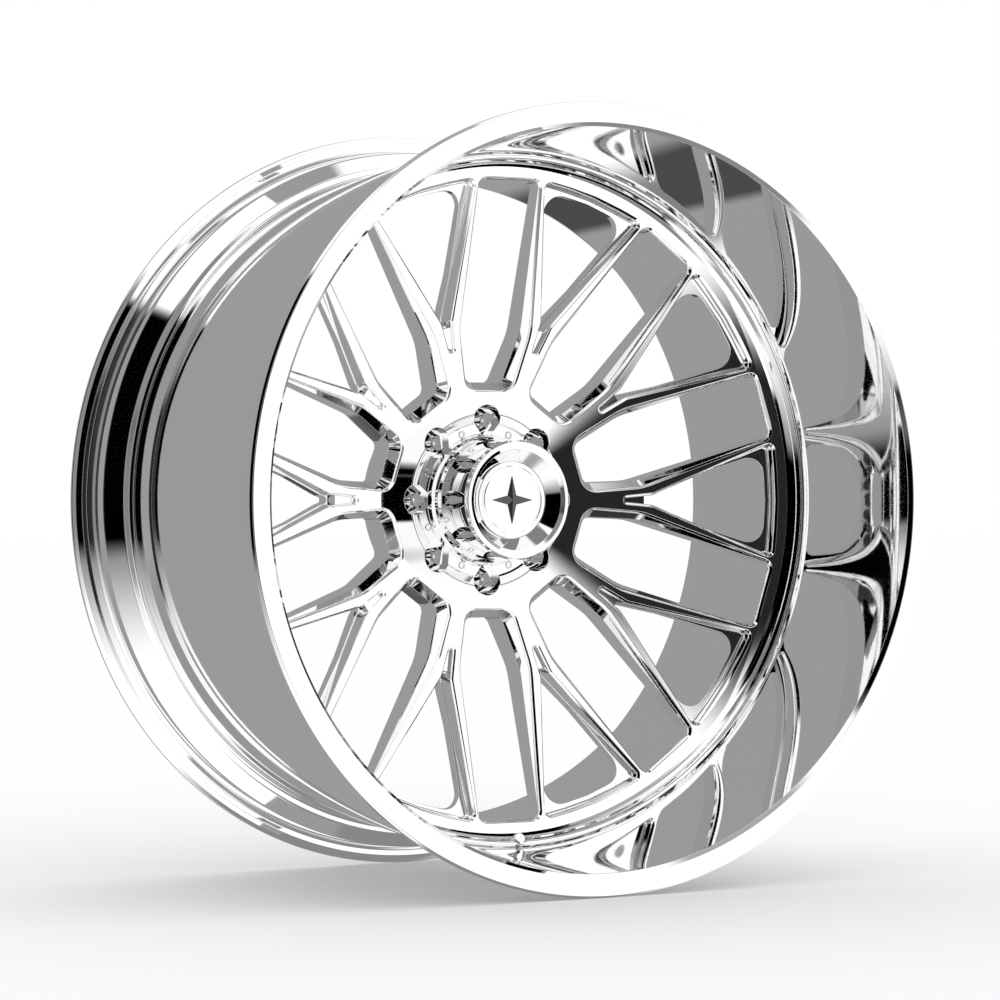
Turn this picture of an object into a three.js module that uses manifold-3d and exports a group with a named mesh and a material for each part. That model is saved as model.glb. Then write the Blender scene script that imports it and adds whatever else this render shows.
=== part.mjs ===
// Forged 30 x 16 inch racing wheel: a deep-lip rolled barrel, a forged ten-spoke centre disc,
// a tall bolted centre cap with its eight screws, and a clamp-in tyre valve.
// Millimetres. The wheel turns about +Y, its outer (show) side faces -Y, and +Z is up.
// The origin is on the wheel's axis, halfway between the two outer flange faces.

import * as THREE from 'three';
import { mergeVertices } from 'three/addons/utils/BufferGeometryUtils.js';
import Module from 'manifold-3d';

const wasm = await Module();
wasm.setup();

// ---- driving dimensions -------------------------------------------------------------------

const INCH = 25.4;
const NOMINAL_DIAMETER = 30 * INCH;
const NOMINAL_WIDTH = 16 * INCH;
const BEAD_SEAT_ALLOWANCE = 4.8;
const FLANGE_HEIGHT = 17.5;
const FLANGE_THICKNESS = 11.25;
const FACE_LAND = 20.5;
const WALL = 9.5;
const BEAD_SEAT_WIDTH = 21;

const LIP_DEPTH = 168.4;
const LIP_TAPER = 12.5;
const LIP_LEDGE = 6.8;
const DISC_RIM_THICKNESS = 40.8;
const HUB_SINK = 69.3;
const FACE_SLOPE = 0.2026;
const HUB_OFFSET = -101;

const CENTRE_BORE_RADIUS = 62.6;
const LUG_COUNT = 8;
const LUG_CIRCLE_RADIUS = 85;
const LUG_POCKET_RADIUS = 16;
const LUG_HOLE_RADIUS = 8;
const LUG_SEAT_THICKNESS = 29.45;

const SPOKE_COUNT = 10;
const WINDOW_RIM_LAND = 18.6;
const SPOKE_BACK_LAND = 23.2;
const POCKET_SHARE = 0.6;
const WINDOW_DRAFT = 0.12;
const GROOVE_DEPTH = 4;
// Half-widths of the windows for each millimetre of radius.
const LONG_RIM_SPREAD = 0.1078;
const LONG_SHOULDER_SPREAD = 0.2361;
const LONG_HUB_SPREAD = 0.2349;
const WEDGE_RIM_SPREAD = 0.1915;

const CAP_SHOULDER = 0.7;
const CAP_HEIGHT = 66.1;
const CAP_DISH = 14;
const CAP_FLANGE_WIDTH = 28.6;
const CAP_FLANGE_THICKNESS = 11.5;
const SCREW_COUNT = 8;
const SCREW_CIRCLE_MARGIN = 11.7;
const SCREW_HEAD_RADIUS = 4.2;
const SCREW_HEAD_HEIGHT = 5;
const SCREW_SHANK_RADIUS = 2.5;
const SCREW_REACH = 13;

const VALVE_TILT = 32;
const VALVE_SETBACK = 14.8;
const VALVE_SEAT_THICKNESS = 7;
const VALVE_HOLE_RADIUS = 5.7;
const VALVE_SPOTFACE_MARGIN = 3.5;

const GAP = 0.3;
const RIM_SEGMENTS = 48;
const HUB_SEGMENTS = 32;
const HOLE_SEGMENTS = 14;
const CORNER_SEGMENTS = 2;
const SCREW_SEGMENTS = 12;

// ---- derived dimensions -------------------------------------------------------------------

const BEAD_SEAT_RADIUS = (NOMINAL_DIAMETER + BEAD_SEAT_ALLOWANCE) / 2;
const FLANGE_RADIUS = BEAD_SEAT_RADIUS + FLANGE_HEIGHT;
const OVERALL_WIDTH = NOMINAL_WIDTH + 2 * FLANGE_THICKNESS;
const LIP_FRONT_RADIUS = FLANGE_RADIUS - FACE_LAND - 4;
const LIP_END_RADIUS = LIP_FRONT_RADIUS - LIP_TAPER;
const DISC_SEAT_RADIUS = LIP_END_RADIUS - 5.4;
const DISC_RADIUS = DISC_SEAT_RADIUS - GAP;
const DISC_FRONT_DEPTH = LIP_DEPTH + LIP_LEDGE;
const DISC_BACK_DEPTH = DISC_FRONT_DEPTH + DISC_RIM_THICKNESS;
const HUB_FACE_DEPTH = DISC_FRONT_DEPTH + HUB_SINK;
const CAP_FRONT_DEPTH = HUB_FACE_DEPTH - CAP_HEIGHT;
const CAP_PLATE_DEPTH = CAP_FRONT_DEPTH + CAP_DISH;
const CAP_RECESS_DEPTH = HUB_FACE_DEPTH + CAP_FLANGE_THICKNESS;
const CAP_RADIUS = CENTRE_BORE_RADIUS + CAP_SHOULDER;
const CAP_FLANGE_RADIUS = CAP_RADIUS + CAP_FLANGE_WIDTH;
const CAP_RECESS_RADIUS = CAP_FLANGE_RADIUS + GAP;
const SCREW_CIRCLE_RADIUS = CAP_RADIUS + SCREW_CIRCLE_MARGIN;
const PAD_DEPTH = OVERALL_WIDTH / 2 - HUB_OFFSET;
const PAD_RADIUS = LUG_CIRCLE_RADIUS + LUG_POCKET_RADIUS + 13;
const LUG_SEAT_DEPTH = PAD_DEPTH - LUG_SEAT_THICKNESS;
const WINDOW_RIM_RADIUS = DISC_RADIUS - WINDOW_RIM_LAND;
const WINDOW_HUB_RADIUS = PAD_RADIUS + 3.5;
const VALVE_SEAT_DEPTH = DISC_FRONT_DEPTH + VALVE_SETBACK;
const VALVE_SEAT_RADIUS = LIP_END_RADIUS - GAP;
const VALVE_SPOTFACE_RADIUS = VALVE_HOLE_RADIUS + VALVE_SPOTFACE_MARGIN;

// Depths are measured from the outer flange face; y() turns one into the wheel's own frame.
const y = (depth) => depth - OVERALL_WIDTH / 2;

// The show face of the centre disc is a shallow cone, deepest at the hub.
const faceDepth = (radius) => HUB_FACE_DEPTH - FACE_SLOPE * (radius - CAP_RECESS_RADIUS);

// The back of the spokes is a steeper cone, so a spoke is thickest beside the hub.
const SPOKE_BACK_INNER = { radius: PAD_RADIUS + 8, depth: PAD_DEPTH - 27.45 };
const SPOKE_BACK_OUTER = { radius: DISC_RADIUS - SPOKE_BACK_LAND, depth: DISC_BACK_DEPTH };
const BACK_SLOPE = (SPOKE_BACK_INNER.depth - SPOKE_BACK_OUTER.depth)
  / (SPOKE_BACK_OUTER.radius - SPOKE_BACK_INNER.radius);
const backDepth = (radius) => SPOKE_BACK_OUTER.depth + BACK_SLOPE * (SPOKE_BACK_OUTER.radius - radius);
const pocketDepth = (radius) => faceDepth(radius) + POCKET_SHARE * (backDepth(radius) - faceDepth(radius));

// ---- helpers ------------------------------------------------------------------------------

// A closed ring turned about +Y from [radius, depth] pairs, listed anticlockwise.
function turned(profile, segments) {
  const points = profile.map(([radius, depth]) => new THREE.Vector2(radius, y(depth)));
  return new THREE.LatheGeometry(closedLoop(points), segments);
}

// The same for a small piece drawn in its own frame, from [radius, height] pairs.
function turnedLocal(profile, segments) {
  const points = profile.map(([radius, height]) => new THREE.Vector2(radius, height));
  return new THREE.LatheGeometry(closedLoop(points), segments);
}

function closedLoop(points) {
  const onAxis = points[0].x === 0 && points[points.length - 1].x === 0;
  return onAxis ? points : [...points, points[0].clone()];
}

function solid(geometry) {
  const bare = geometry.clone();
  bare.deleteAttribute('normal');
  bare.deleteAttribute('uv');
  const merged = mergeVertices(bare, 1e-4);
  return new wasm.Manifold(new wasm.Mesh({
    numProp: 3,
    vertProperties: new Float32Array(merged.attributes.position.array),
    triVerts: new Uint32Array(merged.index.array),
  }));
}

function geometryOf(manifold) {
  const mesh = manifold.getMesh();
  const geometry = new THREE.BufferGeometry();
  geometry.setAttribute('position', new THREE.BufferAttribute(new Float32Array(mesh.vertProperties), 3));
  geometry.setIndex(new THREE.BufferAttribute(new Uint32Array(mesh.triVerts), 1));
  geometry.computeVertexNormals();
  return geometry;
}

// A closed outline with rounded corners, from [x, y, corner radius] triples.
function roundedOutline(corners) {
  const shape = new THREE.Shape();
  const count = corners.length;
  corners.forEach(([cx, cy, radius], index) => {
    const corner = new THREE.Vector2(cx, cy);
    const before = new THREE.Vector2(...corners[(index + count - 1) % count]).sub(corner).normalize();
    const after = new THREE.Vector2(...corners[(index + 1) % count]).sub(corner).normalize();
    const halfAngle = Math.acos(THREE.MathUtils.clamp(before.dot(after), -1, 1)) / 2;
    const setBack = radius / Math.tan(halfAngle);
    const start = corner.clone().addScaledVector(before, setBack);
    const end = corner.clone().addScaledVector(after, setBack);
    if (index === 0) {
      shape.moveTo(start.x, start.y);
    } else {
      shape.lineTo(start.x, start.y);
    }
    shape.quadraticCurveTo(corner.x, corner.y, end.x, end.y);
  });
  shape.closePath();
  return shape;
}

// A cutter that runs along the wheel's axis from one depth to another, on the +X radius.
function axialPrism(shape, fromDepth, toDepth, curveSegments) {
  const geometry = new THREE.ExtrudeGeometry(shape, {
    depth: toDepth - fromDepth,
    bevelEnabled: false,
    curveSegments,
  });
  geometry.rotateX(-Math.PI / 2);
  geometry.translate(0, y(fromDepth), 0);
  return geometry;
}

// Narrows a window cutter as it goes deeper than the show face, so its walls have draft.
function withDraft(geometry, centre, halfLength, halfWidth) {
  const position = geometry.attributes.position;
  for (let i = 0; i < position.count; i += 1) {
    const px = position.getX(i);
    const pz = position.getZ(i);
    const below = position.getY(i) - y(faceDepth(Math.hypot(px, pz)));
    const inset = WINDOW_DRAFT * below;
    position.setX(i, centre + (px - centre) * (1 - inset / halfLength));
    position.setZ(i, pz * (1 - inset / halfWidth));
  }
  return geometry;
}

// Copies of a cutter turned about the wheel's axis.
function around(geometry, count, firstAngle) {
  const copies = [];
  for (let k = 0; k < count; k += 1) {
    const copy = geometry.clone();
    copy.rotateY(THREE.MathUtils.degToRad(firstAngle + (360 / count) * k));
    copies.push(solid(copy));
  }
  return copies.reduce((sum, copy) => sum.add(copy));
}

function cylinderTool(radius, fromDepth, toDepth, orbit, segments, backRadius = radius) {
  const geometry = new THREE.CylinderGeometry(backRadius, radius, toDepth - fromDepth, segments);
  geometry.translate(orbit, (y(fromDepth) + y(toDepth)) / 2, 0);
  return geometry;
}

function pipe(inner, outer, low, high, segments) {
  return turnedLocal([[inner, low], [outer, low], [outer, high], [inner, high]], segments);
}

const chrome = () => new THREE.MeshStandardMaterial({ color: 0xe4e5e7, roughness: 0.05, metalness: 1 });
const glossBlack = () => new THREE.MeshStandardMaterial({ color: 0x141416, roughness: 0.2, metalness: 0 });
const brass = () => new THREE.MeshStandardMaterial({ color: 0xc8a860, roughness: 0.3, metalness: 1 });
const rubber = () => new THREE.MeshStandardMaterial({ color: 0x141414, roughness: 0.8, metalness: 0 });

const wheel = new THREE.Group();

function place(name, geometry, material, parent = wheel) {
  const mesh = new THREE.Mesh(geometry, material);
  mesh.name = name;
  parent.add(mesh);
  return mesh;
}

// ---- valve position -----------------------------------------------------------------------

// The valve lies in the wheel's lowest radius. Its own +Y runs out of the rim, forwards and inwards.
const valveGroup = new THREE.Group();
valveGroup.position.set(0, y(VALVE_SEAT_DEPTH), -VALVE_SEAT_RADIUS);
valveGroup.rotation.x = THREE.MathUtils.degToRad(180 - VALVE_TILT);
valveGroup.updateMatrix();

const VALVE_TOOL_REACH = 42;
const SPOTFACE_REACH = 30;
const valveHole = new THREE.CylinderGeometry(
  VALVE_HOLE_RADIUS, VALVE_HOLE_RADIUS, 2 * VALVE_TOOL_REACH, 20);
valveHole.applyMatrix4(valveGroup.matrix);
const outerSpotface = new THREE.CylinderGeometry(
  VALVE_SPOTFACE_RADIUS, VALVE_SPOTFACE_RADIUS, SPOTFACE_REACH, 20);
outerSpotface.translate(0, SPOTFACE_REACH / 2, 0);
outerSpotface.applyMatrix4(valveGroup.matrix);
const innerSpotface = new THREE.CylinderGeometry(
  VALVE_SPOTFACE_RADIUS, VALVE_SPOTFACE_RADIUS, SPOTFACE_REACH, 20);
innerSpotface.translate(0, -SPOTFACE_REACH / 2 - VALVE_SEAT_THICKNESS, 0);
innerSpotface.applyMatrix4(valveGroup.matrix);
const valveTool = solid(valveHole).add(solid(outerSpotface)).add(solid(innerSpotface));

// ---- barrel -------------------------------------------------------------------------------

// Outside: flange, bead seat, shoulder over the valve, long taper to the drop, step up to the rear
// bead seat, rear flange.
// Inside: rear mouth, drop wall, seat for the disc, small ledge, polished lip, flange face.
const width = OVERALL_WIDTH;
const DROP_DEPTH = width - 62;
const DROP_RADIUS = BEAD_SEAT_RADIUS - 26.4;
const SEAT_FRONT = FLANGE_THICKNESS + BEAD_SEAT_WIDTH;
const REAR_SEAT = width - FLANGE_THICKNESS - BEAD_SEAT_WIDTH - 7.4;

const barrelOutside = [
  [FLANGE_RADIUS - FACE_LAND, 0],
  [FLANGE_RADIUS - 2.4, 0],
  [FLANGE_RADIUS, 2.4],
  [FLANGE_RADIUS, 7.6],
  [FLANGE_RADIUS - 3.2, FLANGE_THICKNESS],
  [BEAD_SEAT_RADIUS + 3.6, FLANGE_THICKNESS],
  [BEAD_SEAT_RADIUS, FLANGE_THICKNESS + 4.5],
  [BEAD_SEAT_RADIUS - 1.2, SEAT_FRONT],
  [BEAD_SEAT_RADIUS - 1.4, SEAT_FRONT + 8],
  [BEAD_SEAT_RADIUS - 7, VALVE_SEAT_DEPTH],
  [DROP_RADIUS, DROP_DEPTH],
  [DROP_RADIUS + 9.3, DROP_DEPTH + 4],
  [BEAD_SEAT_RADIUS - 2.5, REAR_SEAT],
  [BEAD_SEAT_RADIUS, width - FLANGE_THICKNESS - 6],
  [BEAD_SEAT_RADIUS + 3.6, width - FLANGE_THICKNESS],
  [FLANGE_RADIUS - 8.5, width - FLANGE_THICKNESS],
  [FLANGE_RADIUS - 4, width - 6],
  [FLANGE_RADIUS, width - 3.6],
  [FLANGE_RADIUS, width],
];
const barrelInside = [
  [FLANGE_RADIUS - 15, width],
  [FLANGE_RADIUS - 22, width - 5],
  [FLANGE_RADIUS - 26, width - 12],
  [BEAD_SEAT_RADIUS - 2.5 - WALL, REAR_SEAT + 3],
  [DROP_RADIUS - WALL, DROP_DEPTH - 4],
  [DISC_SEAT_RADIUS, DISC_BACK_DEPTH + 2],
  [DISC_SEAT_RADIUS, DISC_FRONT_DEPTH - 0.8],
  [DISC_SEAT_RADIUS + 2.6, DISC_FRONT_DEPTH - 0.8],
  [DISC_SEAT_RADIUS + 4.2, LIP_DEPTH + 2],
  [LIP_END_RADIUS, LIP_DEPTH],
  [LIP_FRONT_RADIUS, 4],
];
const barrel = solid(turned([...barrelOutside, ...barrelInside], RIM_SEGMENTS)).subtract(valveTool);
place('barrel', geometryOf(barrel), chrome());

// ---- centre disc --------------------------------------------------------------------------

const COVE_RADIUS = DISC_RADIUS - 5.4;
const discProfile = [
  [CENTRE_BORE_RADIUS, CAP_RECESS_DEPTH],
  [CENTRE_BORE_RADIUS, PAD_DEPTH - 3],
  [CENTRE_BORE_RADIUS + 3, PAD_DEPTH],
  [PAD_RADIUS - 3, PAD_DEPTH],
  [PAD_RADIUS, PAD_DEPTH - 4],
  [SPOKE_BACK_INNER.radius, SPOKE_BACK_INNER.depth],
  [SPOKE_BACK_OUTER.radius, SPOKE_BACK_OUTER.depth],
  [DISC_RADIUS, DISC_BACK_DEPTH],
  [DISC_RADIUS, DISC_FRONT_DEPTH],
  [DISC_RADIUS - 1.2, DISC_FRONT_DEPTH],
  [DISC_RADIUS - 2.1, DISC_FRONT_DEPTH + 8],
  [COVE_RADIUS + 0.8, faceDepth(COVE_RADIUS) - 3.4],
  [COVE_RADIUS - 3, faceDepth(COVE_RADIUS - 3)],
  [CAP_RECESS_RADIUS, HUB_FACE_DEPTH],
  [CAP_RECESS_RADIUS, CAP_RECESS_DEPTH],
].reverse();
const discBlank = solid(turned(discProfile, RIM_SEGMENTS));

// Long windows, centred between the pairs of spokes.
const LONG_RIM = WINDOW_RIM_RADIUS - 2;
const LONG_SHOULDER = WINDOW_HUB_RADIUS + 62.1;
const longWindow = roundedOutline([
  [LONG_RIM, -LONG_RIM_SPREAD * LONG_RIM, 9],
  [LONG_RIM, LONG_RIM_SPREAD * LONG_RIM, 9],
  [LONG_SHOULDER, LONG_SHOULDER_SPREAD * LONG_SHOULDER, 24],
  [WINDOW_HUB_RADIUS, LONG_HUB_SPREAD * WINDOW_HUB_RADIUS, 16],
  [WINDOW_HUB_RADIUS, -LONG_HUB_SPREAD * WINDOW_HUB_RADIUS, 16],
  [LONG_SHOULDER, -LONG_SHOULDER_SPREAD * LONG_SHOULDER, 24],
]);

// Wedge windows, centred inside each pair of spokes, with a tapered groove towards the hub.
const WEDGE_RIM = WINDOW_RIM_RADIUS - 6.4;
const WEDGE_TIP = WINDOW_HUB_RADIUS + 80.5;
const WEDGE_TIP_HALF = 9.6;
function wedgeCorners(inset, outerRound, tip) {
  const half = WEDGE_RIM_SPREAD * WEDGE_RIM - 1.5 * inset;
  const tipHalf = WEDGE_TIP_HALF - 0.7 * inset;
  return [
    [WINDOW_RIM_RADIUS - inset, 0, 0.01],
    [WEDGE_RIM - inset, half, outerRound],
    [tip, tipHalf, 4],
    [tip, -tipHalf, 4],
    [WEDGE_RIM - inset, -half, outerRound],
  ];
}
const wedgeWindow = roundedOutline(wedgeCorners(0, 6, WEDGE_TIP));
const wedgeThrough = roundedOutline(wedgeCorners(2.4, 18, WEDGE_TIP - 2));
const GROOVE_MOUTH = WEDGE_TIP + 8;
const GROOVE_TIP = WINDOW_HUB_RADIUS + 43.7;
const groove = roundedOutline([
  [GROOVE_MOUTH, -10, 1],
  [GROOVE_MOUTH, 10, 1],
  [GROOVE_TIP, 6, 5],
  [GROOVE_TIP, -6, 5],
]);

const TOOL_FRONT = DISC_FRONT_DEPTH - 25;
const TOOL_BACK = PAD_DEPTH + 15;
const LONG_CENTRE = (WINDOW_RIM_RADIUS + WINDOW_HUB_RADIUS) / 2;
const LONG_HALF_LENGTH = (WINDOW_RIM_RADIUS - WINDOW_HUB_RADIUS) / 2;
const LONG_HALF_WIDTH = 40;
const WEDGE_REACH = 60;
const WEDGE_CENTRE = WINDOW_RIM_RADIUS - 50;
const pitch = 360 / SPOKE_COUNT;
const cutter = (shape) => axialPrism(shape, TOOL_FRONT, TOOL_BACK, CORNER_SEGMENTS);
const longDrafted = (shape) => withDraft(cutter(shape), LONG_CENTRE, LONG_HALF_LENGTH, LONG_HALF_WIDTH);
const wedgeDrafted = (shape) => withDraft(cutter(shape), WEDGE_CENTRE, WEDGE_REACH, WEDGE_REACH);

// Everything in front of a cone that lies under the show face.
function inFrontOf(depthAt) {
  const inner = CAP_RECESS_RADIUS;
  const outer = DISC_RADIUS;
  return solid(turned([
    [inner, TOOL_FRONT - 5],
    [inner, depthAt(inner)],
    [outer, depthAt(outer)],
    [outer, TOOL_FRONT - 5],
  ].reverse(), RIM_SEGMENTS));
}

const pockets = around(wedgeDrafted(wedgeWindow), SPOKE_COUNT, 0)
  .intersect(inFrontOf(pocketDepth));
const throughCuts = around(longDrafted(longWindow), SPOKE_COUNT, pitch / 2)
  .add(around(wedgeDrafted(wedgeThrough), SPOKE_COUNT, 0));
const grooves = around(cutter(groove), SPOKE_COUNT, 0)
  .intersect(inFrontOf((radius) => faceDepth(radius) + GROOVE_DEPTH));

const LUG_TOOL_FRONT = DISC_FRONT_DEPTH + 25;
const LUG_CONE_DEPTH = 9;
const pocketTool = cylinderTool(
  LUG_POCKET_RADIUS, LUG_TOOL_FRONT, LUG_SEAT_DEPTH, LUG_CIRCLE_RADIUS, HOLE_SEGMENTS);
const coneTool = cylinderTool(
  LUG_POCKET_RADIUS, LUG_SEAT_DEPTH - 0.01, LUG_SEAT_DEPTH + LUG_CONE_DEPTH, LUG_CIRCLE_RADIUS, HOLE_SEGMENTS,
  LUG_HOLE_RADIUS);
const studTool = cylinderTool(
  LUG_HOLE_RADIUS, LUG_SEAT_DEPTH, PAD_DEPTH + 5, LUG_CIRCLE_RADIUS, HOLE_SEGMENTS);
const lugPockets = around(pocketTool, LUG_COUNT, 0)
  .add(around(coneTool, LUG_COUNT, 0))
  .add(around(studTool, LUG_COUNT, 0));
const screwAngle = 180 / SCREW_COUNT;
const SCREW_SEAT_DEPTH = CAP_RECESS_DEPTH - 2.2;
const screwHoles = around(cylinderTool(
  SCREW_SHANK_RADIUS + GAP, CAP_RECESS_DEPTH - 10, SCREW_SEAT_DEPTH + SCREW_REACH + 2,
  SCREW_CIRCLE_RADIUS, SCREW_SEGMENTS), SCREW_COUNT, screwAngle);

const disc = discBlank
  .subtract(pockets)
  .subtract(throughCuts)
  .subtract(grooves)
  .subtract(lugPockets)
  .subtract(screwHoles)
  .subtract(valveTool);
place('centre_disc', geometryOf(disc), chrome());

// ---- centre cap ---------------------------------------------------------------------------

const CAP_UNDERSIDE = CAP_RECESS_DEPTH - GAP;
const SCREW_LAND_DEPTH = SCREW_SEAT_DEPTH - SCREW_HEAD_HEIGHT;
const SPIGOT_RADIUS = CENTRE_BORE_RADIUS - GAP;
const CAP_WALL = 5;
const CAP_BORE_RADIUS = SPIGOT_RADIUS - CAP_WALL;
const PLATE_RADIUS = CAP_RADIUS - 22.5;
const PLATE_THICKNESS = 6;
const ORING_RADIUS = CENTRE_BORE_RADIUS + 5.1;
const ORING_SECTION = 1.4;

const capProfile = [
  [0, CAP_PLATE_DEPTH + PLATE_THICKNESS + 8],
  [CAP_BORE_RADIUS, CAP_PLATE_DEPTH + PLATE_THICKNESS + 8],
  [CAP_BORE_RADIUS, CAP_RECESS_DEPTH + 12],
  [SPIGOT_RADIUS, CAP_RECESS_DEPTH + 12],
  [SPIGOT_RADIUS, CAP_UNDERSIDE],
  [ORING_RADIUS - ORING_SECTION - GAP, CAP_UNDERSIDE],
  [ORING_RADIUS - ORING_SECTION - GAP, CAP_UNDERSIDE - 3.2],
  [ORING_RADIUS + ORING_SECTION + GAP, CAP_UNDERSIDE - 3.2],
  [ORING_RADIUS + ORING_SECTION + GAP, CAP_UNDERSIDE],
  [CAP_FLANGE_RADIUS, CAP_UNDERSIDE],
  [CAP_FLANGE_RADIUS, HUB_FACE_DEPTH + 0.6],
  [CAP_FLANGE_RADIUS - 1.4, HUB_FACE_DEPTH - 1],
  [CAP_FLANGE_RADIUS - 8.6, HUB_FACE_DEPTH + 2],
  [CAP_FLANGE_RADIUS - 10.6, SCREW_LAND_DEPTH],
  [CAP_RADIUS + 7.4, SCREW_LAND_DEPTH],
  [CAP_RADIUS + 6.2, HUB_FACE_DEPTH - 2],
  [CAP_RADIUS + 3.4, HUB_FACE_DEPTH - 5],
  [CAP_RADIUS + 2.6, HUB_FACE_DEPTH - 9.6],
  [CAP_RADIUS, HUB_FACE_DEPTH - 13.6],
  [CAP_RADIUS, CAP_FRONT_DEPTH + 4],
  [CAP_RADIUS - 2.1, CAP_FRONT_DEPTH],
  [CAP_RADIUS - 6.2, CAP_FRONT_DEPTH],
  [CAP_RADIUS - 10.3, CAP_FRONT_DEPTH + 2],
  [PLATE_RADIUS, CAP_PLATE_DEPTH],
  [PLATE_RADIUS, CAP_PLATE_DEPTH + PLATE_THICKNESS + GAP],
  [0, CAP_PLATE_DEPTH + PLATE_THICKNESS + GAP],
].reverse();
const CAP_TOOL_FRONT = HUB_FACE_DEPTH - 14.5;
const CAP_TOOL_BACK = CAP_RECESS_DEPTH + 4;
const scallops = around(cylinderTool(
  LUG_POCKET_RADIUS + GAP, CAP_TOOL_FRONT, CAP_TOOL_BACK, LUG_CIRCLE_RADIUS, HOLE_SEGMENTS), LUG_COUNT, 0);
const shankHole = cylinderTool(
  SCREW_SHANK_RADIUS + GAP, CAP_TOOL_FRONT, CAP_TOOL_BACK, SCREW_CIRCLE_RADIUS, SCREW_SEGMENTS);
const headHole = cylinderTool(
  SCREW_HEAD_RADIUS + GAP, CAP_TOOL_FRONT, SCREW_SEAT_DEPTH, SCREW_CIRCLE_RADIUS, SCREW_SEGMENTS);
const capScrewHoles = around(shankHole, SCREW_COUNT, screwAngle)
  .add(around(headHole, SCREW_COUNT, screwAngle));
const cap = solid(turned(capProfile, HUB_SEGMENTS)).subtract(scallops).subtract(capScrewHoles);
place('cap_body', geometryOf(cap), chrome());

const capPlate = turned([
  [0, CAP_PLATE_DEPTH],
  [PLATE_RADIUS - GAP, CAP_PLATE_DEPTH],
  [PLATE_RADIUS - GAP, CAP_PLATE_DEPTH + PLATE_THICKNESS],
  [0, CAP_PLATE_DEPTH + PLATE_THICKNESS],
], HUB_SEGMENTS);
place('cap_face_plate', capPlate, chrome());

// A plain four-pointed star, raised from the plate.
const star = new THREE.Shape();
const STAR_RADIUS = 25;
const STAR_WAIST = 7;
const STAR_THICKNESS = 1.8;
const STAR_CORNERS = 8;
for (let k = 0; k < STAR_CORNERS; k += 1) {
  const reach = k % 2 === 0 ? STAR_RADIUS : STAR_WAIST;
  const angle = (2 * Math.PI / STAR_CORNERS) * k;
  const px = reach * Math.cos(angle);
  const py = reach * Math.sin(angle);
  if (k === 0) {
    star.moveTo(px, py);
  } else {
    star.lineTo(px, py);
  }
}
star.closePath();
const emblem = axialPrism(star, CAP_PLATE_DEPTH - STAR_THICKNESS - GAP, CAP_PLATE_DEPTH - GAP, 1);
place('cap_emblem', emblem, glossBlack());

const oring = new THREE.TorusGeometry(ORING_RADIUS, ORING_SECTION, 6, HUB_SEGMENTS);
oring.rotateX(Math.PI / 2);
oring.translate(0, y(CAP_UNDERSIDE - 1.6), 0);
place('cap_oring', oring, rubber());

// Socket-head screw, drawn along +Y with the underside of its head at zero.
const SOCKET_RADIUS = 2.4;
const SOCKET_DEPTH = 2.6;
const screwBlank = solid(turnedLocal([
  [0, -SCREW_HEAD_HEIGHT],
  [SCREW_HEAD_RADIUS - 0.5, -SCREW_HEAD_HEIGHT],
  [SCREW_HEAD_RADIUS, -SCREW_HEAD_HEIGHT + 0.5],
  [SCREW_HEAD_RADIUS, -GAP],
  [SCREW_SHANK_RADIUS, -GAP],
  [SCREW_SHANK_RADIUS, SCREW_REACH - 1],
  [SCREW_SHANK_RADIUS - 1, SCREW_REACH],
  [0, SCREW_REACH],
], SCREW_SEGMENTS));
const hexSocket = new THREE.CylinderGeometry(SOCKET_RADIUS, SOCKET_RADIUS, 2 * SOCKET_DEPTH, 6);
hexSocket.translate(0, -SCREW_HEAD_HEIGHT, 0);
const screwGeometry = geometryOf(screwBlank.subtract(solid(hexSocket)));
for (let k = 0; k < SCREW_COUNT; k += 1) {
  const angle = THREE.MathUtils.degToRad(screwAngle + (360 / SCREW_COUNT) * k);
  const screw = place(`cap_screw_${k + 1}`, screwGeometry, chrome());
  screw.position.set(
    SCREW_CIRCLE_RADIUS * Math.cos(angle), y(SCREW_SEAT_DEPTH), SCREW_CIRCLE_RADIUS * Math.sin(angle));
}

// ---- valve --------------------------------------------------------------------------------

// Heights are along the valve's own axis, from the front spot face.
const STEM_RADIUS = VALVE_HOLE_RADIUS - 1.8;
const STEM_BORE_RADIUS = 1.2;
const STEM_TOP = 12.5;
const HEAD_RADIUS = VALVE_SPOTFACE_RADIUS - 1.2;
const HEAD_LOW = -VALVE_SEAT_THICKNESS - 5;
const HEAD_THICKNESS = 2.2;
const WASHER_RADIUS = VALVE_SPOTFACE_RADIUS - 0.8;
const GROMMET_TOP = 1.9;
const WASHER_LOW = GROMMET_TOP + GAP;
const WASHER_TOP = WASHER_LOW + 1;
const NUT_LOW = WASHER_TOP + GAP;
const NUT_TOP = NUT_LOW + 5.5;
const NUT_RADIUS = STEM_RADIUS + 3.1;
const CORE_RADIUS = STEM_RADIUS - 1.6;
const CORE_LOW = 3;
const CORE_TOP = STEM_TOP - 1;
const PIN_RADIUS = 0.45;
const PIN_FOOT_RADIUS = 0.9;
const PIN_TOP = STEM_TOP - GAP;
const DUST_CAP_RADIUS = STEM_RADIUS + 2.9;
const DUST_CAP_LOW = NUT_TOP + GAP;
const DUST_CAP_ROOF = STEM_TOP + 2.3;
const DUST_CAP_TOP = DUST_CAP_ROOF + 3;

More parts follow.
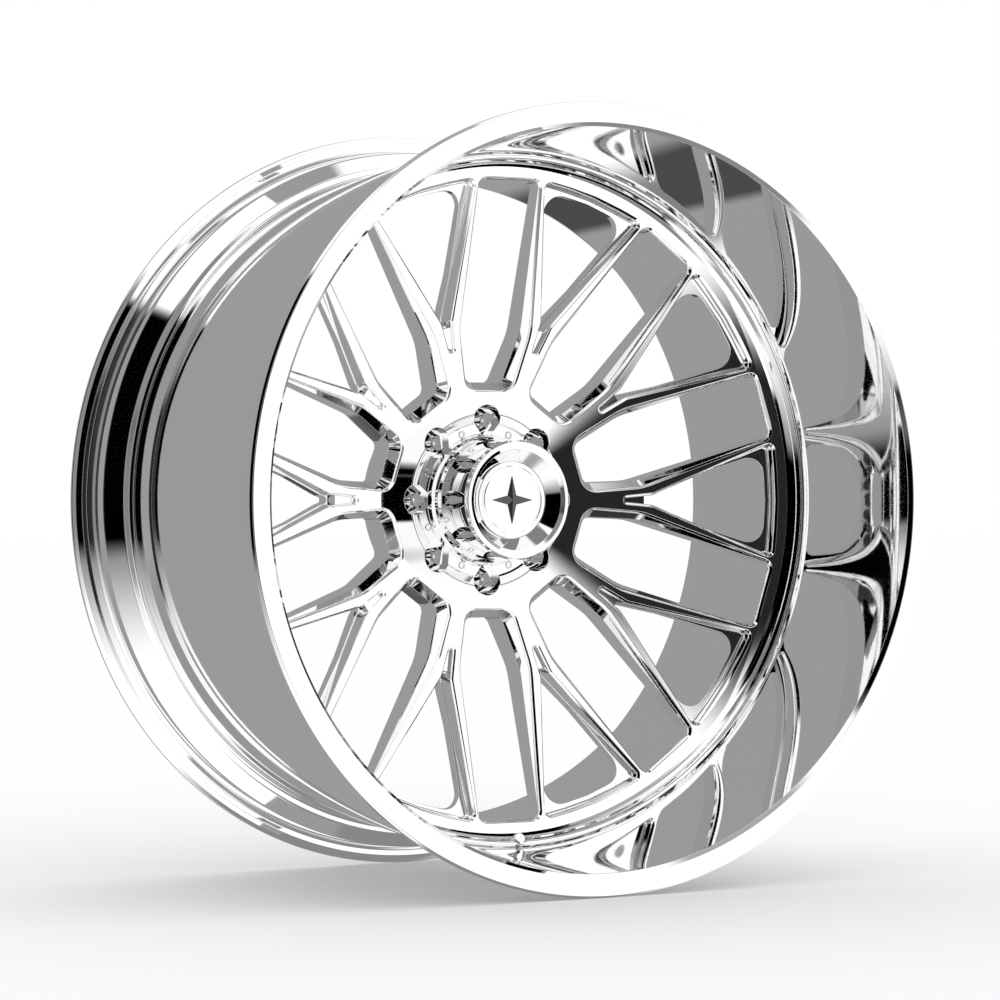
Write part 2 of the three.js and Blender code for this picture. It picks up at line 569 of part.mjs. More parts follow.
wheel.add(valveGroup);
place('valve_stem', turnedLocal([
  [STEM_BORE_RADIUS, HEAD_LOW],
  [HEAD_RADIUS, HEAD_LOW],
  [HEAD_RADIUS, HEAD_LOW + HEAD_THICKNESS],
  [STEM_RADIUS, HEAD_LOW + HEAD_THICKNESS],
  [STEM_RADIUS, STEM_TOP],
  [CORE_RADIUS + GAP, STEM_TOP],
  [CORE_RADIUS + GAP, CORE_LOW - GAP],
  [STEM_BORE_RADIUS, CORE_LOW - GAP],
], 20), brass(), valveGroup);
const innerGrommet = pipe(
  STEM_RADIUS + GAP, HEAD_RADIUS, HEAD_LOW + HEAD_THICKNESS + GAP, -VALVE_SEAT_THICKNESS - GAP, 20);
place('valve_grommet_inner', innerGrommet, rubber(), valveGroup);
const outerGrommet = pipe(STEM_RADIUS + GAP, WASHER_RADIUS, GAP, GROMMET_TOP, 20);
place('valve_grommet_outer', outerGrommet, rubber(), valveGroup);
const washer = pipe(STEM_RADIUS + GAP, WASHER_RADIUS, WASHER_LOW, WASHER_TOP, 20);
place('valve_washer', washer, chrome(), valveGroup);
place('valve_nut', turnedLocal([
  [STEM_RADIUS + GAP, NUT_LOW],
  [NUT_RADIUS, NUT_LOW],
  [NUT_RADIUS, NUT_TOP - 0.8],
  [NUT_RADIUS - 0.8, NUT_TOP],
  [STEM_RADIUS + GAP, NUT_TOP],
], 20), chrome(), valveGroup);
const coreBody = pipe(PIN_RADIUS + GAP, CORE_RADIUS, CORE_LOW, CORE_TOP, 12);
place('valve_core_body', coreBody, brass(), valveGroup);
place('valve_core_pin', turnedLocal([
  [0, CORE_LOW - 5],
  [PIN_FOOT_RADIUS, CORE_LOW - 5],
  [PIN_FOOT_RADIUS, CORE_LOW - 2.4],
  [PIN_RADIUS, CORE_LOW - 1.8],
  [PIN_RADIUS, PIN_TOP],
  [0, PIN_TOP],
], 10), brass(), valveGroup);
place('valve_cap', turnedLocal([
  [0, DUST_CAP_ROOF],
  [STEM_RADIUS + GAP, DUST_CAP_ROOF],
  [STEM_RADIUS + GAP, DUST_CAP_LOW],
  [DUST_CAP_RADIUS - 0.6, DUST_CAP_LOW],
  [DUST_CAP_RADIUS, DUST_CAP_LOW + 0.6],
  [DUST_CAP_RADIUS, DUST_CAP_TOP - 1.4],
  [DUST_CAP_RADIUS - 1.4, DUST_CAP_TOP],
  [0, DUST_CAP_TOP],
], 20), chrome(), valveGroup);
const capSeal = pipe(1, STEM_RADIUS, STEM_TOP + GAP, DUST_CAP_ROOF - GAP, 12);
place('valve_cap_seal', capSeal, rubber(), valveGroup);

export default wheel;
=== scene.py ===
"""Forged racing wheel rim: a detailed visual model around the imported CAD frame.

Sizes are in millimetres. A depth is measured along the wheel's axis from the outer flange face, positive
towards the vehicle. Every surface is laid point by point with its own corner normals, so that mirror
reflections run cleanly across it.
"""
import math
import bpy
import numpy as np
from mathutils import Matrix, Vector
from mathutils.geometry import delaunay_2d_cdt


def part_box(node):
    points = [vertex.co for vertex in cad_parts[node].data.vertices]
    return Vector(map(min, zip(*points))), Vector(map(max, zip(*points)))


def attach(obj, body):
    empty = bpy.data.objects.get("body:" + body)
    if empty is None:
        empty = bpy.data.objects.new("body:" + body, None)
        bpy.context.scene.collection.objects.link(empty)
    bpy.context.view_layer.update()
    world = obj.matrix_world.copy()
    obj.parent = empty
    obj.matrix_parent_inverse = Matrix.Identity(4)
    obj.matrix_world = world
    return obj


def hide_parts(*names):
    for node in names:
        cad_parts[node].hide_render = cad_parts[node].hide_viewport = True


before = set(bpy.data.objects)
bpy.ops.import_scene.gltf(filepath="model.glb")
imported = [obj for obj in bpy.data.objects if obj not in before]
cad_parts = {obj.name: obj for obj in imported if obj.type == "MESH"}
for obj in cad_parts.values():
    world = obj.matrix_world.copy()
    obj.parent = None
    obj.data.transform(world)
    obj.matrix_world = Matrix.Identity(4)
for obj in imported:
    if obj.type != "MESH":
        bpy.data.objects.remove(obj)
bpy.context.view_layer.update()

MM = 0.001
FRONT_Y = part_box("barrel")[0][1]
FLOOR_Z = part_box("barrel")[0][2]
UP = np.array((0.0, 0.0, 1.0))
AXLE = np.array((0.0, 1.0, 0.0))
RIGHT = np.array((1.0, 0.0, 0.0))
FULL_TURN = 2 * math.pi
TURN_STEP = 12.0           # degrees of bend for each piece of a rounded corner
EDGE_SPACING = 7.0         # longest piece of a cut's straight edge
FACE_POINT_SPACING = 8.0   # rings of extra points on the disc's front and back
FACE_POINT_STEPS = 180
FACE_POINT_CLEARANCE = 2.5


# ---- small vector helpers -------------------------------------------------------------------

def unit(vector):
    vector = np.asarray(vector, float)
    return vector / math.sqrt(float(vector @ vector))


def right_of(along):
    return np.array((along[1], -along[0]))


def rotated(vector, angle):
    c, s = math.cos(angle), math.sin(angle)
    return np.array((vector[0] * c - vector[1] * s, vector[0] * s + vector[1] * c))


def mixed(first, second, share):
    return unit(first * (1.0 - share) + second * share)


# ---- outlines and profiles ------------------------------------------------------------------

def rounded(corners, closed=True):
    """Stations (point, normal before, normal after) of a profile with corners (a, b, radius).

    The outer side is on the right of the direction of travel.
    """
    stations = []
    count = len(corners)
    for i, corner in enumerate(corners):
        here = np.array(corner[:2], float)
        radius = corner[2] if len(corner) > 2 else 0.0
        if not closed and i in (0, count - 1):
            other = np.array(corners[1 if i == 0 else i - 1][:2], float)
            side = right_of(unit(other - here if i == 0 else here - other))
            stations.append((here, side, side))
            continue
        back, ahead = here - corners[i - 1][:2], np.array(corners[(i + 1) % count][:2], float) - here
        go_in, go_out = unit(back), unit(ahead)
        turn = math.atan2(go_in[0] * go_out[1] - go_in[1] * go_out[0], float(go_in @ go_out))
        if radius <= 0 or abs(turn) < 0.002:
            stations.append((here, right_of(go_in), right_of(go_out)))
            continue
        reach = radius * math.tan(abs(turn) / 2)
        limit = 0.49 * min(np.linalg.norm(back), np.linalg.norm(ahead))
        if reach > limit:
            radius *= limit / reach
            reach = limit
        bend = math.copysign(1.0, turn)
        side = right_of(go_in)
        centre = here - go_in * reach - bend * radius * side
        pieces = max(2, math.ceil(abs(math.degrees(turn)) / TURN_STEP))
        for k in range(pieces + 1):
            normal = rotated(side, turn * k / pieces)
            stations.append((centre + bend * radius * normal, normal, normal))
    return stations


def inset_corners(corners, distance):
    """A closed outline's corners, drawn in by distance, with radii that keep the same centres."""
    result = []
    count = len(corners)
    for i, (a, b, radius) in enumerate(corners):
        here = np.array((a, b), float)
        go_in = unit(here - corners[i - 1][:2])
        go_out = unit(np.array(corners[(i + 1) % count][:2], float) - here)
        first, second = right_of(go_in), right_of(go_out)
        bend = math.copysign(1.0, go_in[0] * go_out[1] - go_in[1] * go_out[0])
        moved = here - distance * (first + second) / (1.0 + float(first @ second))
        result.append((moved[0], moved[1], max(radius - bend * distance, 0.3)))
    return result


def edge_counts(corners):
    """How many pieces each straight edge of an outline is cut into."""
    points = [np.array(c[:2], float) for c in corners]
    return [max(1, math.ceil(np.linalg.norm(points[(i + 1) % len(points)] - points[i]) / EDGE_SPACING))
            for i in range(len(points))]


def outline(corners, distance, counts):
    """Closed ring of stations of an outline drawn in by distance, its straight edges cut as counts says."""
    moved = inset_corners(corners, distance)
    ring = []
    per_corner = []
    for i in range(len(moved)):
        before, after = moved[i - 1], moved[(i + 1) % len(moved)]
        per_corner.append(rounded([before, moved[i], after], closed=False)[1:-1])
    for i, arc in enumerate(per_corner):
        ring.extend(arc)
        start, end = arc[-1], per_corner[(i + 1) % len(per_corner)][0]
        for k in range(1, counts[i]):
            point = start[0] + (end[0] - start[0]) * k / counts[i]
            ring.append((point, start[2], start[2]))
    return ring


# ---- mesh building --------------------------------------------------------------------------

class Shell:
    """Collects points and faces with a normal at every corner, then makes one mesh object of them."""

    def __init__(self):
        self.points = []
        self.faces = []
        self.normals = []

    def add(self, point):
        self.points.append((float(point[0]), float(point[1]), float(point[2])))
        return len(self.points) - 1

    def add_at(self, x, z, depth):
        """Adds the point x, z at a depth, all in millimetres."""
        return self.add((x * MM, FRONT_Y + MM * depth, z * MM))

    def face(self, corners):
        """corners is a list of (point number, normal), in order round the face in either direction."""
        kept = [c for i, c in enumerate(corners) if c[0] != corners[i - 1][0]]
        if len(kept) < 3:
            return
        p = [self.points[c[0]] for c in kept]
        ax, ay, az = p[1][0] - p[0][0], p[1][1] - p[0][1], p[1][2] - p[0][2]
        bx, by, bz = p[-1][0] - p[0][0], p[-1][1] - p[0][1], p[-1][2] - p[0][2]
        if len(p) == 4:
            ax, ay, az = p[2][0] - p[0][0], p[2][1] - p[0][1], p[2][2] - p[0][2]
            bx, by, bz = p[3][0] - p[1][0], p[3][1] - p[1][1], p[3][2] - p[1][2]
        cx, cy, cz = ay * bz - az * by, az * bx - ax * bz, ax * by - ay * bx
        total = sum(c[1][0] * cx + c[1][1] * cy + c[1][2] * cz for c in kept)
        if total < 0:
            kept.reverse()
        self.faces.append([c[0] for c in kept])
        self.normals.extend((float(c[1][0]), float(c[1][1]), float(c[1][2])) for c in kept)

    def band(self, first, second, first_normals, second_normals, closed=True):
        """Quads between two rings of point numbers, whose normals are (before, after) pairs."""
        count = len(first)
        for i in range(count if closed else count - 1):
            j = (i + 1) % count
            self.face([(first[i], first_normals[i][1]), (first[j], first_normals[j][0]),
                       (second[j], second_normals[j][0]), (second[i], second_normals[i][1])])

    def build(self, name, material, slot, body, *replaced):
        mesh = bpy.data.meshes.new(name)
        mesh.from_pydata(self.points, [], self.faces)
        mesh.polygons.foreach_set("use_smooth", [True] * len(mesh.polygons))
        mesh.normals_split_custom_set(self.normals)
        return finish_piece(mesh, name, material, slot, body, *replaced)


def finish_piece(mesh, name, material, slot, body, *replaced):
    piece = bpy.data.objects.new(name, mesh)
    bpy.context.scene.collection.objects.link(piece)
    mesh.materials.append(material)
    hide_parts(*replaced)
    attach(piece, body)
    return piece


WHEEL_AXES = (np.array((0.0, FRONT_Y, 0.0)), RIGHT, AXLE, UP)


def at(axes, radius, height, angle):
    origin, side, along, up = axes
    return origin + MM * (along * height + (side * math.cos(angle) + up * math.sin(angle)) * radius)


def turned_normal(axes, normal, angle):
    side, along, up = axes[1:]
    return (side * math.cos(angle) + up * math.sin(angle)) * normal[0] + along * normal[1]


def lathe(shell, axes, stations, steps, closed=True):
    """Turns a profile of (radius, height) stations about the axes and returns its rings of point numbers."""
    angles = [FULL_TURN * j / steps for j in range(steps)]
    rings = []
    for point, _, _ in stations:
        if point[0] < 0.001:
            rings.append([shell.add(at(axes, 0.0, point[1], 0.0))] * steps)
        else:
            rings.append([shell.add(at(axes, point[0], point[1], a)) for a in angles])
    count = len(stations)
    for i in range(count if closed else count - 1):
        k = (i + 1) % count
        here = [(n, n) for n in (turned_normal(axes, stations[i][2], a) for a in angles)]
        there = [(n, n) for n in (turned_normal(axes, stations[k][1], a) for a in angles)]
        shell.band(rings[i], rings[k], here, there)
    return rings


def inside_ring(x, z, ring):
    """Which of the points x, z lie inside a ring of (x, z) corners."""
    ring = np.asarray(ring)
    inside = np.zeros(len(x), bool)
    ax, az = ring[:, 0], ring[:, 1]
    bx, bz = np.roll(ax, -1), np.roll(az, -1)
    for i in range(len(ring)):
        if az[i] == bz[i]:
            continue
        crosses = (az[i] > z) != (bz[i] > z)
        where = ax[i] + (z - az[i]) * (bx[i] - ax[i]) / (bz[i] - az[i])
        inside ^= crosses & (x < where)
    return inside


def fill(shell, rings, chains, keep, extra, depth, normal):
    """Covers an area seen along the axis with triangles.

    rings are closed and chains open rows of point numbers, keep(x, z) says which centroids belong, extra are
    further (x, z) points, and depth and normal are functions of x and z.
    """
    numbers, flat, edges, seen = [], [], [], {}
    for row, closed in [(r, True) for r in rings] + [(c, False) for c in chains]:
        local = []
        for number in row:
            if number not in seen:
                seen[number] = len(numbers)
                numbers.append(number)
                flat.append(Vector((shell.points[number][0] / MM, shell.points[number][2] / MM)))
            local.append(seen[number])
        edges.extend(zip(local, local[1:]))
        if closed:
            edges.append((local[-1], local[0]))
    given = len(flat)
    flat.extend(Vector(e) for e in extra)
    verts, _, triangles, sources, _, _ = delaunay_2d_cdt(flat, edges, [], 0, 1e-5, True)
    corners = np.array([(v[0], v[1]) for v in verts])
    triangles = np.array(triangles)
    centres = corners[triangles].mean(axis=1)
    kept = triangles[keep(centres[:, 0], centres[:, 1])]
    number_of = {}
    for v in set(kept.ravel().tolist()):
        held = [s for s in sources[v] if s < given]
        x, z = corners[v]
        number_of[v] = numbers[held[0]] if held else shell.add_at(x, z, depth(x, z))
    normals = {v: normal(corners[v][0], corners[v][1]) for v in number_of}
    for triangle in kept.tolist():
        shell.face([(number_of[v], normals[v]) for v in triangle])


def circle_points(radii, steps):
    """Points on rings about the wheel's axis, every second ring shifted by half a step."""
    return [(r * math.cos(FULL_TURN * (j + 0.5 * (i % 2)) / steps),
             r * math.sin(FULL_TURN * (j + 0.5 * (i % 2)) / steps))
            for i, r in enumerate(radii) for j in range(steps)]


def plane_of(shell, ring):
    return np.array([(shell.points[n][0] / MM, shell.points[n][2] / MM) for n in ring])


def outside(x, z, shapes):
    """Which of the points x, z lie outside every shape."""
    good = np.ones(len(x), bool)
    for shape in shapes:
        good &= ~inside_ring(x, z, shape)
    return good


def extra_points(first, last, belongs, shapes):
    """Points on rings from first to last that belong and keep clear of the shapes' corners."""
    points = circle_points(np.arange(first, last, FACE_POINT_SPACING), FACE_POINT_STEPS)
    x, z = np.array(points).T
    cloud = np.vstack(shapes)
    return [p for p, good in zip(points, belongs(x, z)) if good and
            np.min((cloud[:, 0] - p[0]) ** 2 + (cloud[:, 1] - p[1]) ** 2) > FACE_POINT_CLEARANCE ** 2]


# ---- materials ------------------------------------------------------------------------------

FINE_GRAIN = 22.0            # how much finer the polishing marks are than the clouds
NOISE_RANGE = (0.12, 0.42)   # the range of the two noises' product
MARK_HEIGHT = 0.0002


def node(tree, kind, **inputs):
    made = tree.nodes.new(kind)
    for key, value in inputs.items():
        made.inputs[key.replace("_", " ")].default_value = value
    return made


def metal(name, colour, roughness, spread, grain, bump, metallic=1.0, coat=0.0):
    """Polished or plated metal: faint cloudy roughness, hairline polishing marks and a slight waviness."""
    material = bpy.data.materials.new(name)
    material.use_nodes = True
    tree = material.node_tree
    shader = tree.nodes["Principled BSDF"]
    shader.inputs["Base Color"].default_value = (*colour, 1.0)
    shader.inputs["Metallic"].default_value = metallic
    shader.inputs["Coat Weight"].default_value = coat
    place = tree.nodes.new("ShaderNodeTexCoord")
    cloud = node(tree, "ShaderNodeTexNoise", Scale=grain, Detail=4.0, Roughness=0.6)
    tree.links.new(place.outputs["Object"], cloud.inputs["Vector"])
    fine = node(tree, "ShaderNodeTexNoise", Scale=grain * FINE_GRAIN, Detail=3.0, Roughness=0.55)
    tree.links.new(place.outputs["Object"], fine.inputs["Vector"])
    both = tree.nodes.new("ShaderNodeMath")
    both.operation = "MULTIPLY"
    tree.links.new(cloud.outputs["Fac"], both.inputs[0])
    tree.links.new(fine.outputs["Fac"], both.inputs[1])
    mapped = node(tree, "ShaderNodeMapRange", From_Min=NOISE_RANGE[0], From_Max=NOISE_RANGE[1],
                  To_Min=roughness, To_Max=roughness + spread)
    tree.links.new(both.outputs["Value"], mapped.inputs["Value"])
    tree.links.new(mapped.outputs["Result"], shader.inputs["Roughness"])
    relief = node(tree, "ShaderNodeBump", Strength=bump, Distance=MARK_HEIGHT)
    tree.links.new(fine.outputs["Fac"], relief.inputs["Height"])
    tree.links.new(relief.outputs["Normal"], shader.inputs["Normal"])
    return material


# name, colour, least roughness, its spread, grain of the clouds, strength of the marks
ALLOY = metal("polished_alloy", (0.93, 0.93, 0.935), 0.012, 0.03, 9.0, 0.01)
CHROME = metal("chrome_trim", (0.90, 0.905, 0.91), 0.01, 0.02, 18.0, 0.01)
STEEL = metal("screw_steel", (0.62, 0.62, 0.63), 0.05, 0.08, 60.0, 0.05)
EMBLEM = metal("dark_emblem", (0.03, 0.03, 0.033), 0.10, 0.08, 40.0, 0.05, metallic=0.0, coat=1.0)
RUBBER = metal("seal_rubber", (0.03, 0.03, 0.03), 0.62, 0.2, 80.0, 0.6, metallic=0.0)
BRASS = metal("valve_brass", (0.78, 0.60, 0.30), 0.16, 0.12, 60.0, 0.15)


# ---- barrel ---------------------------------------------------------------------------------

# Profiles are (radius, depth, rounding) corners.
BARREL_STEPS = 360
BARREL = [
    (380.4, 0.0, 1.2), (398.5, 0.0, 2.2), (400.9, 2.4, 1.4), (400.9, 7.6, 2.0), (397.7, 11.25, 1.6),
    (387.0, 11.25, 3.2), (383.4, 15.75, 2.2), (382.2, 32.25, 3.0), (382.0, 40.25, 6.0), (357.0, 366.9, 10.0),
    (366.3, 370.9, 6.0), (380.9, 389.25, 6.0), (383.4, 411.65, 2.0), (387.0, 417.65, 2.5),
    (392.4, 417.65, 1.6), (396.9, 422.9, 1.6), (400.9, 425.3, 1.4), (400.9, 428.9, 1.0),
    (385.9, 428.9, 3.0), (378.9, 423.9, 5.0), (374.9, 416.9, 6.0), (371.4, 392.25, 8.0),
    (347.5, 362.9, 14.0), (358.5, 218.0, 1.0), (358.5, 174.4, 0.5), (361.1, 174.4, 0.9),
    (362.7, 170.4, 1.2), (363.9, 168.4, 1.5), (376.4, 4.0, 1.2),
]
barrel = Shell()
lathe(barrel, WHEEL_AXES, rounded(BARREL), BARREL_STEPS)
barrel.build("barrel_polished", ALLOY, "polished_alloy", "wheel", "barrel")


# ---- centre disc ----------------------------------------------------------------------------

DISC_STEPS = 240
HUB_FACE_DEPTH = 244.5
HUB_FACE_RADIUS = 92.2
FACE_SLOPE = 0.2026
BACK_RADIUS = 335.0
BACK_DEPTH = 216.0
BACK_SLOPE = 0.33803
PAD_DEPTH = 315.45
FACE_NORMAL = unit((-FACE_SLOPE, -1.0))
BACK_NORMAL = unit((BACK_SLOPE, 1.0))


def face_depth(x, z):
    return HUB_FACE_DEPTH - FACE_SLOPE * (math.hypot(x, z) - HUB_FACE_RADIUS)


def back_depth(x, z):
    return BACK_DEPTH + BACK_SLOPE * max(0.0, BACK_RADIUS - math.hypot(x, z))


def face_normal(x, z):
    return turned_normal(WHEEL_AXES, FACE_NORMAL, math.atan2(z, x))


def back_normal(x, z):
    share = min(1.0, max(0.0, (BACK_RADIUS + 4.0 - math.hypot(x, z)) / 6.0))
    return mixed(AXLE, turned_normal(WHEEL_AXES, BACK_NORMAL, math.atan2(z, x)), share)


def flat_front(x, z):
    return -AXLE


def flat_back(x, z):
    return AXLE


FACET_SHARE = 0.42
FACET_START = 8.6
FACET_LEAN = 0.61


def facet_width(x, z):
    """How far a long window's sloped facet reaches inwards, which grows with the disc's thickness."""
    return FACET_LEAN * max(0.0, FACET_SHARE * (back_depth(x, z) - face_depth(x, z)) - FACET_START)


def depth_between(x, z, share):
    """Depth at a share of the disc's thickness."""
    return face_depth(x, z) * (1 - share) + back_depth(x, z) * share


def leaning(side, turn, blend, x, z):
    """A wall's normal, leaning by blend towards the face's normal (positive) or the back's (negative)."""
    flat = rotated(side, turn)
    wall = np.array((-flat[0], 0.0, -flat[1]))
    if blend >= 0:
        return mixed(wall, face_normal(x, z), blend)
    return mixed(wall, back_normal(x, z), -blend)


def cut(shell, corners, counts, turn, stations):
    """Rings and bands of a cut.

    stations are (inset, share of thickness, extra depth, blend before, blend after, share of the facet's
    width). Each ring is its point numbers and the (before, after) normals of the bands on either side.
    """
    rings = []
    for inset, share, extra, blend_in, blend_out, narrowing in stations:
        numbers, normals_in, normals_out = [], [], []
        for point, before, after in outline(corners, inset, counts):
            x, z = rotated(point, turn)
            if narrowing:
                point = point - unit(before + after) * narrowing * facet_width(x, z)
                x, z = rotated(point, turn)
            numbers.append(shell.add_at(x, z, depth_between(x, z, share) + extra))
            for normals, blend in ((normals_in, blend_in), (normals_out, blend_out)):
                normals.append(tuple(leaning(side, turn, blend, x, z) for side in (before, after)))
        rings.append((numbers, normals_in, normals_out))
    for first, second in zip(rings, rings[1:]):
        shell.band(first[0], second[0], first[2], second[1])
    return rings


# Outlines of the cuts: (distance from the axis, sideways, rounding) corners along the cut's middle line.
LONG_CORNERS = [
    (337.6, -36.4, 9.0), (337.6, 36.4, 9.0), (179.6, 42.4, 60.0), (117.5, 27.6, 16.0), (117.5, -27.6, 16.0),
    (179.6, -42.4, 60.0),
]
EDGE_STATIONS = [
    (-3.2, 0.0, 0.0, 1.0, 1.0, 0.0), (-2.9, 0.0, 0.05, 0.9, 0.9, 0.0), (-2.5, 0.0, 0.4, 0.55, 0.55, 0.0),
    (-0.7, 0.0, 2.2, 0.5, 0.5, 0.0), (-0.3, 0.0, 2.8, 0.42, 0.42, 0.0),
]
LONG_STATIONS = EDGE_STATIONS + [
    (0.0, 0.0, 3.6, 0.37, 0.37, 0.0), (0.0, FACET_SHARE, -5.0, 0.37, 0.37, 1.0),
    (0.3, FACET_SHARE, -4.2, 0.04, 0.04, 1.0),
    (0.9, 1.0, -1.5, 0.03, 0.03, 1.0), (0.6, 1.0, -0.4, -0.5, -0.5, 1.0), (-0.3, 1.0, 0.0, -1.0, -1.0, 1.0),
]
WEDGE_CORNERS = [
    (333.2, -62.5, 6.0), (339.6, 0.0, 320.0), (333.2, 62.5, 6.0), (197.0, 5.2, 12.0), (165.0, 2.2, 2.0),
    (165.0, -2.2, 2.0), (197.0, -5.2, 12.0),
]
POCKET_SHARE = 0.6
WEDGE_STATIONS = EDGE_STATIONS + [(0.0, 0.0, 3.6, 0.1, 0.04, 0.0)]
GROOVE_DEPTH = 7.0
GROOVE_END = 191.5
FILLET_FROM = 245.0
FILLET_RUN = 60.0
FILLET_LEAST = 0.05
FILLET_WIDTH = 3.2
FILLET_HEIGHT = 1.2   # as a share of its width
THROUGH_CORNERS = [
    (327.9, -52.2, 18.0), (334.4, 0.0, 320.0), (327.9, 52.2, 18.0), (244.0, 24.1, 40.0), (199.0, 5.1, 8.0),
    (191.0, 3.0, 2.8), (191.0, -3.0, 2.8), (199.0, -5.1, 8.0), (244.0, -24.1, 40.0),
]
THROUGH_STATIONS = [
    (-0.3, POCKET_SHARE, 0.0, 1.0, 1.0, 0.0), (0.0, POCKET_SHARE, 0.4, 0.4, 0.1, 0.0),
    (0.6, 1.0, -1.4, 0.1, 0.1, 0.0), (0.3, 1.0, -0.4, -0.5, -0.5, 0.0), (-0.4, 1.0, 0.0, -1.0, -1.0, 0.0),
]
SPOKES = 10
SPOKE_ANGLE = FULL_TURN / SPOKES
long_counts = edge_counts(LONG_CORNERS)
wedge_counts = edge_counts(WEDGE_CORNERS)
through_counts = edge_counts(THROUGH_CORNERS)

disc = Shell()
front_rings, back_rings = [], []


def pocket_depth(x, z):
    return depth_between(x, z, POCKET_SHARE)


def fillet_width(x, z):
    """Width of the fillet round a pocket's floor, which runs out where the ledge gets narrow."""
    share = min(1.0, max(0.0, (math.hypot(x, z) - FILLET_FROM) / FILLET_RUN))
    return FILLET_LEAST + FILLET_WIDTH * share


def pocket_wall_depth(x, z):
    return pocket_depth(x, z) - FILLET_HEIGHT * fillet_width(x, z)


def groove_depth(x, z):
    return face_depth(x, z) + GROOVE_DEPTH


def no_width(x, z):
    return 0.0


def lowered(top, walls, indices, depth, inwards=no_width):
    """New points below those of the ring top, moved inwards from its walls."""
    made = []
    for i in indices:
        x, _, z = disc.points[top[i]]
        x, z = x / MM, z / MM
        step = unit(walls[i][0] + walls[i][1]) * inwards(x, z)
        x, z = x + step[0], z + step[2]
        made.append(disc.add_at(x, z, depth(x, z)))
    return made


for k in range(SPOKES):
    rings = cut(disc, LONG_CORNERS, long_counts, SPOKE_ANGLE * (k + 0.5), LONG_STATIONS)
    front_rings.append(rings[0][0])
    back_rings.append(rings[-1][0])

    # A wedge window starts as a pocket with a shallow groove at its hub end.
    turn = SPOKE_ANGLE * k
    rings = cut(disc, WEDGE_CORNERS, wedge_counts, turn, WEDGE_STATIONS)
    front_rings.append(rings[0][0])
    top, _, walls = rings[-1]
    plane = [rotated(p, -turn) for p in plane_of(disc, top)]
    in_groove = [p[0] < GROOVE_END for p in plane]
    count = len(top)
    start = next(i for i in range(count) if in_groove[i] and not in_groove[i - 1])
    order = [(start + i) % count for i in range(count)]
    groove = [i for i in order if in_groove[i]]
    pocket = [groove[-1]] + [i for i in order if not in_groove[i]] + [groove[0]]
    groove_low = lowered(top, walls, groove, groove_depth)
    pocket_wall = lowered(top, walls, pocket, pocket_wall_depth)
    pocket_low = lowered(top, walls, pocket, pocket_depth, fillet_width)
    groove_normals, pocket_normals = [walls[i] for i in groove], [walls[i] for i in pocket]
    floor_normals = [(face_normal(x, z),) * 2 for x, z in plane_of(disc, pocket_low)]
    disc.band([top[i] for i in groove], groove_low, groove_normals, groove_normals, closed=False)
    disc.band([top[i] for i in pocket], pocket_wall, pocket_normals, pocket_normals, closed=False)
    disc.band(pocket_wall, pocket_low, pocket_normals, floor_normals, closed=False)
    outward = np.array((math.cos(turn), 0.0, math.sin(turn)))
    disc.face([(groove_low[0], outward), (groove_low[-1], outward), (pocket_low[0], outward),
               (pocket_low[-1], outward)])
    groove_shape = plane_of(disc, groove_low)
    fill(disc, [groove_low], [], lambda x, z, shape=groove_shape: inside_ring(x, z, shape), [],
         groove_depth, face_normal)

    # The way through starts in the pocket's floor.
    through = cut(disc, THROUGH_CORNERS, through_counts, turn, THROUGH_STATIONS)
    back_rings.append(through[-1][0])
    outer_shape, inner_shape = plane_of(disc, pocket_low), plane_of(disc, through[0][0])
    fill(disc, [pocket_low, through[0][0]], [],
         lambda x, z, a=outer_shape, b=inner_shape: inside_ring(x, z, a) & ~inside_ring(x, z, b),
         [], pocket_depth, face_normal)

# Outer edge of the disc: the smooth cove up to the crisp step that meets the barrel, then round to the back.
FACE_EDGE_RADIUS = 341.0
BACK_EDGE_RADIUS = 345.0
COVE_RADIUS = 350.8
EDGE = [
    (FACE_EDGE_RADIUS, face_depth(FACE_EDGE_RADIUS, 0), 0.0), (COVE_RADIUS, face_depth(COVE_RADIUS, 0), 0.4),
    (354.5, 188.8, 44.0), (357.4, 184.8, 0.4), (357.6, 175.6, 0.5), (358.2, 175.2, 0.3),
    (358.2, BACK_DEPTH, 0.5), (BACK_EDGE_RADIUS, BACK_DEPTH, 0.0),
]
edge_rings = lathe(disc, WHEEL_AXES, rounded(EDGE, closed=False), DISC_STEPS, closed=False)

# Lug pockets and cap recess: one scalloped outline in the face, with a small rounded edge.
LUGS = 8
LUG_CIRCLE = 85.0
LUG_RADIUS = 16.0
RECESS_RADIUS = 92.2
RECESS_DEPTH = 256.0
LUG_SEAT_DEPTH = 286.0
LUG_CONE_DEPTH = 295.0
LUG_HOLE_RADIUS = 8.0
BORE_RADIUS = 62.6
ARC_PIECES = 18
RECESS_PIECES = 12
INNER_PIECES = 24


def crossing(radius, lug):
    """Half angles of the arc that a lug's circle cuts from one about the axis, and of its own arc beyond."""
    swing = math.acos((radius ** 2 + LUG_CIRCLE ** 2 - lug ** 2) / (2 * radius * LUG_CIRCLE))
    return swing, math.acos((radius * math.cos(swing) - LUG_CIRCLE) / lug)


def lug_centre(angle):
    return LUG_CIRCLE * np.array((math.cos(angle), math.sin(angle)))


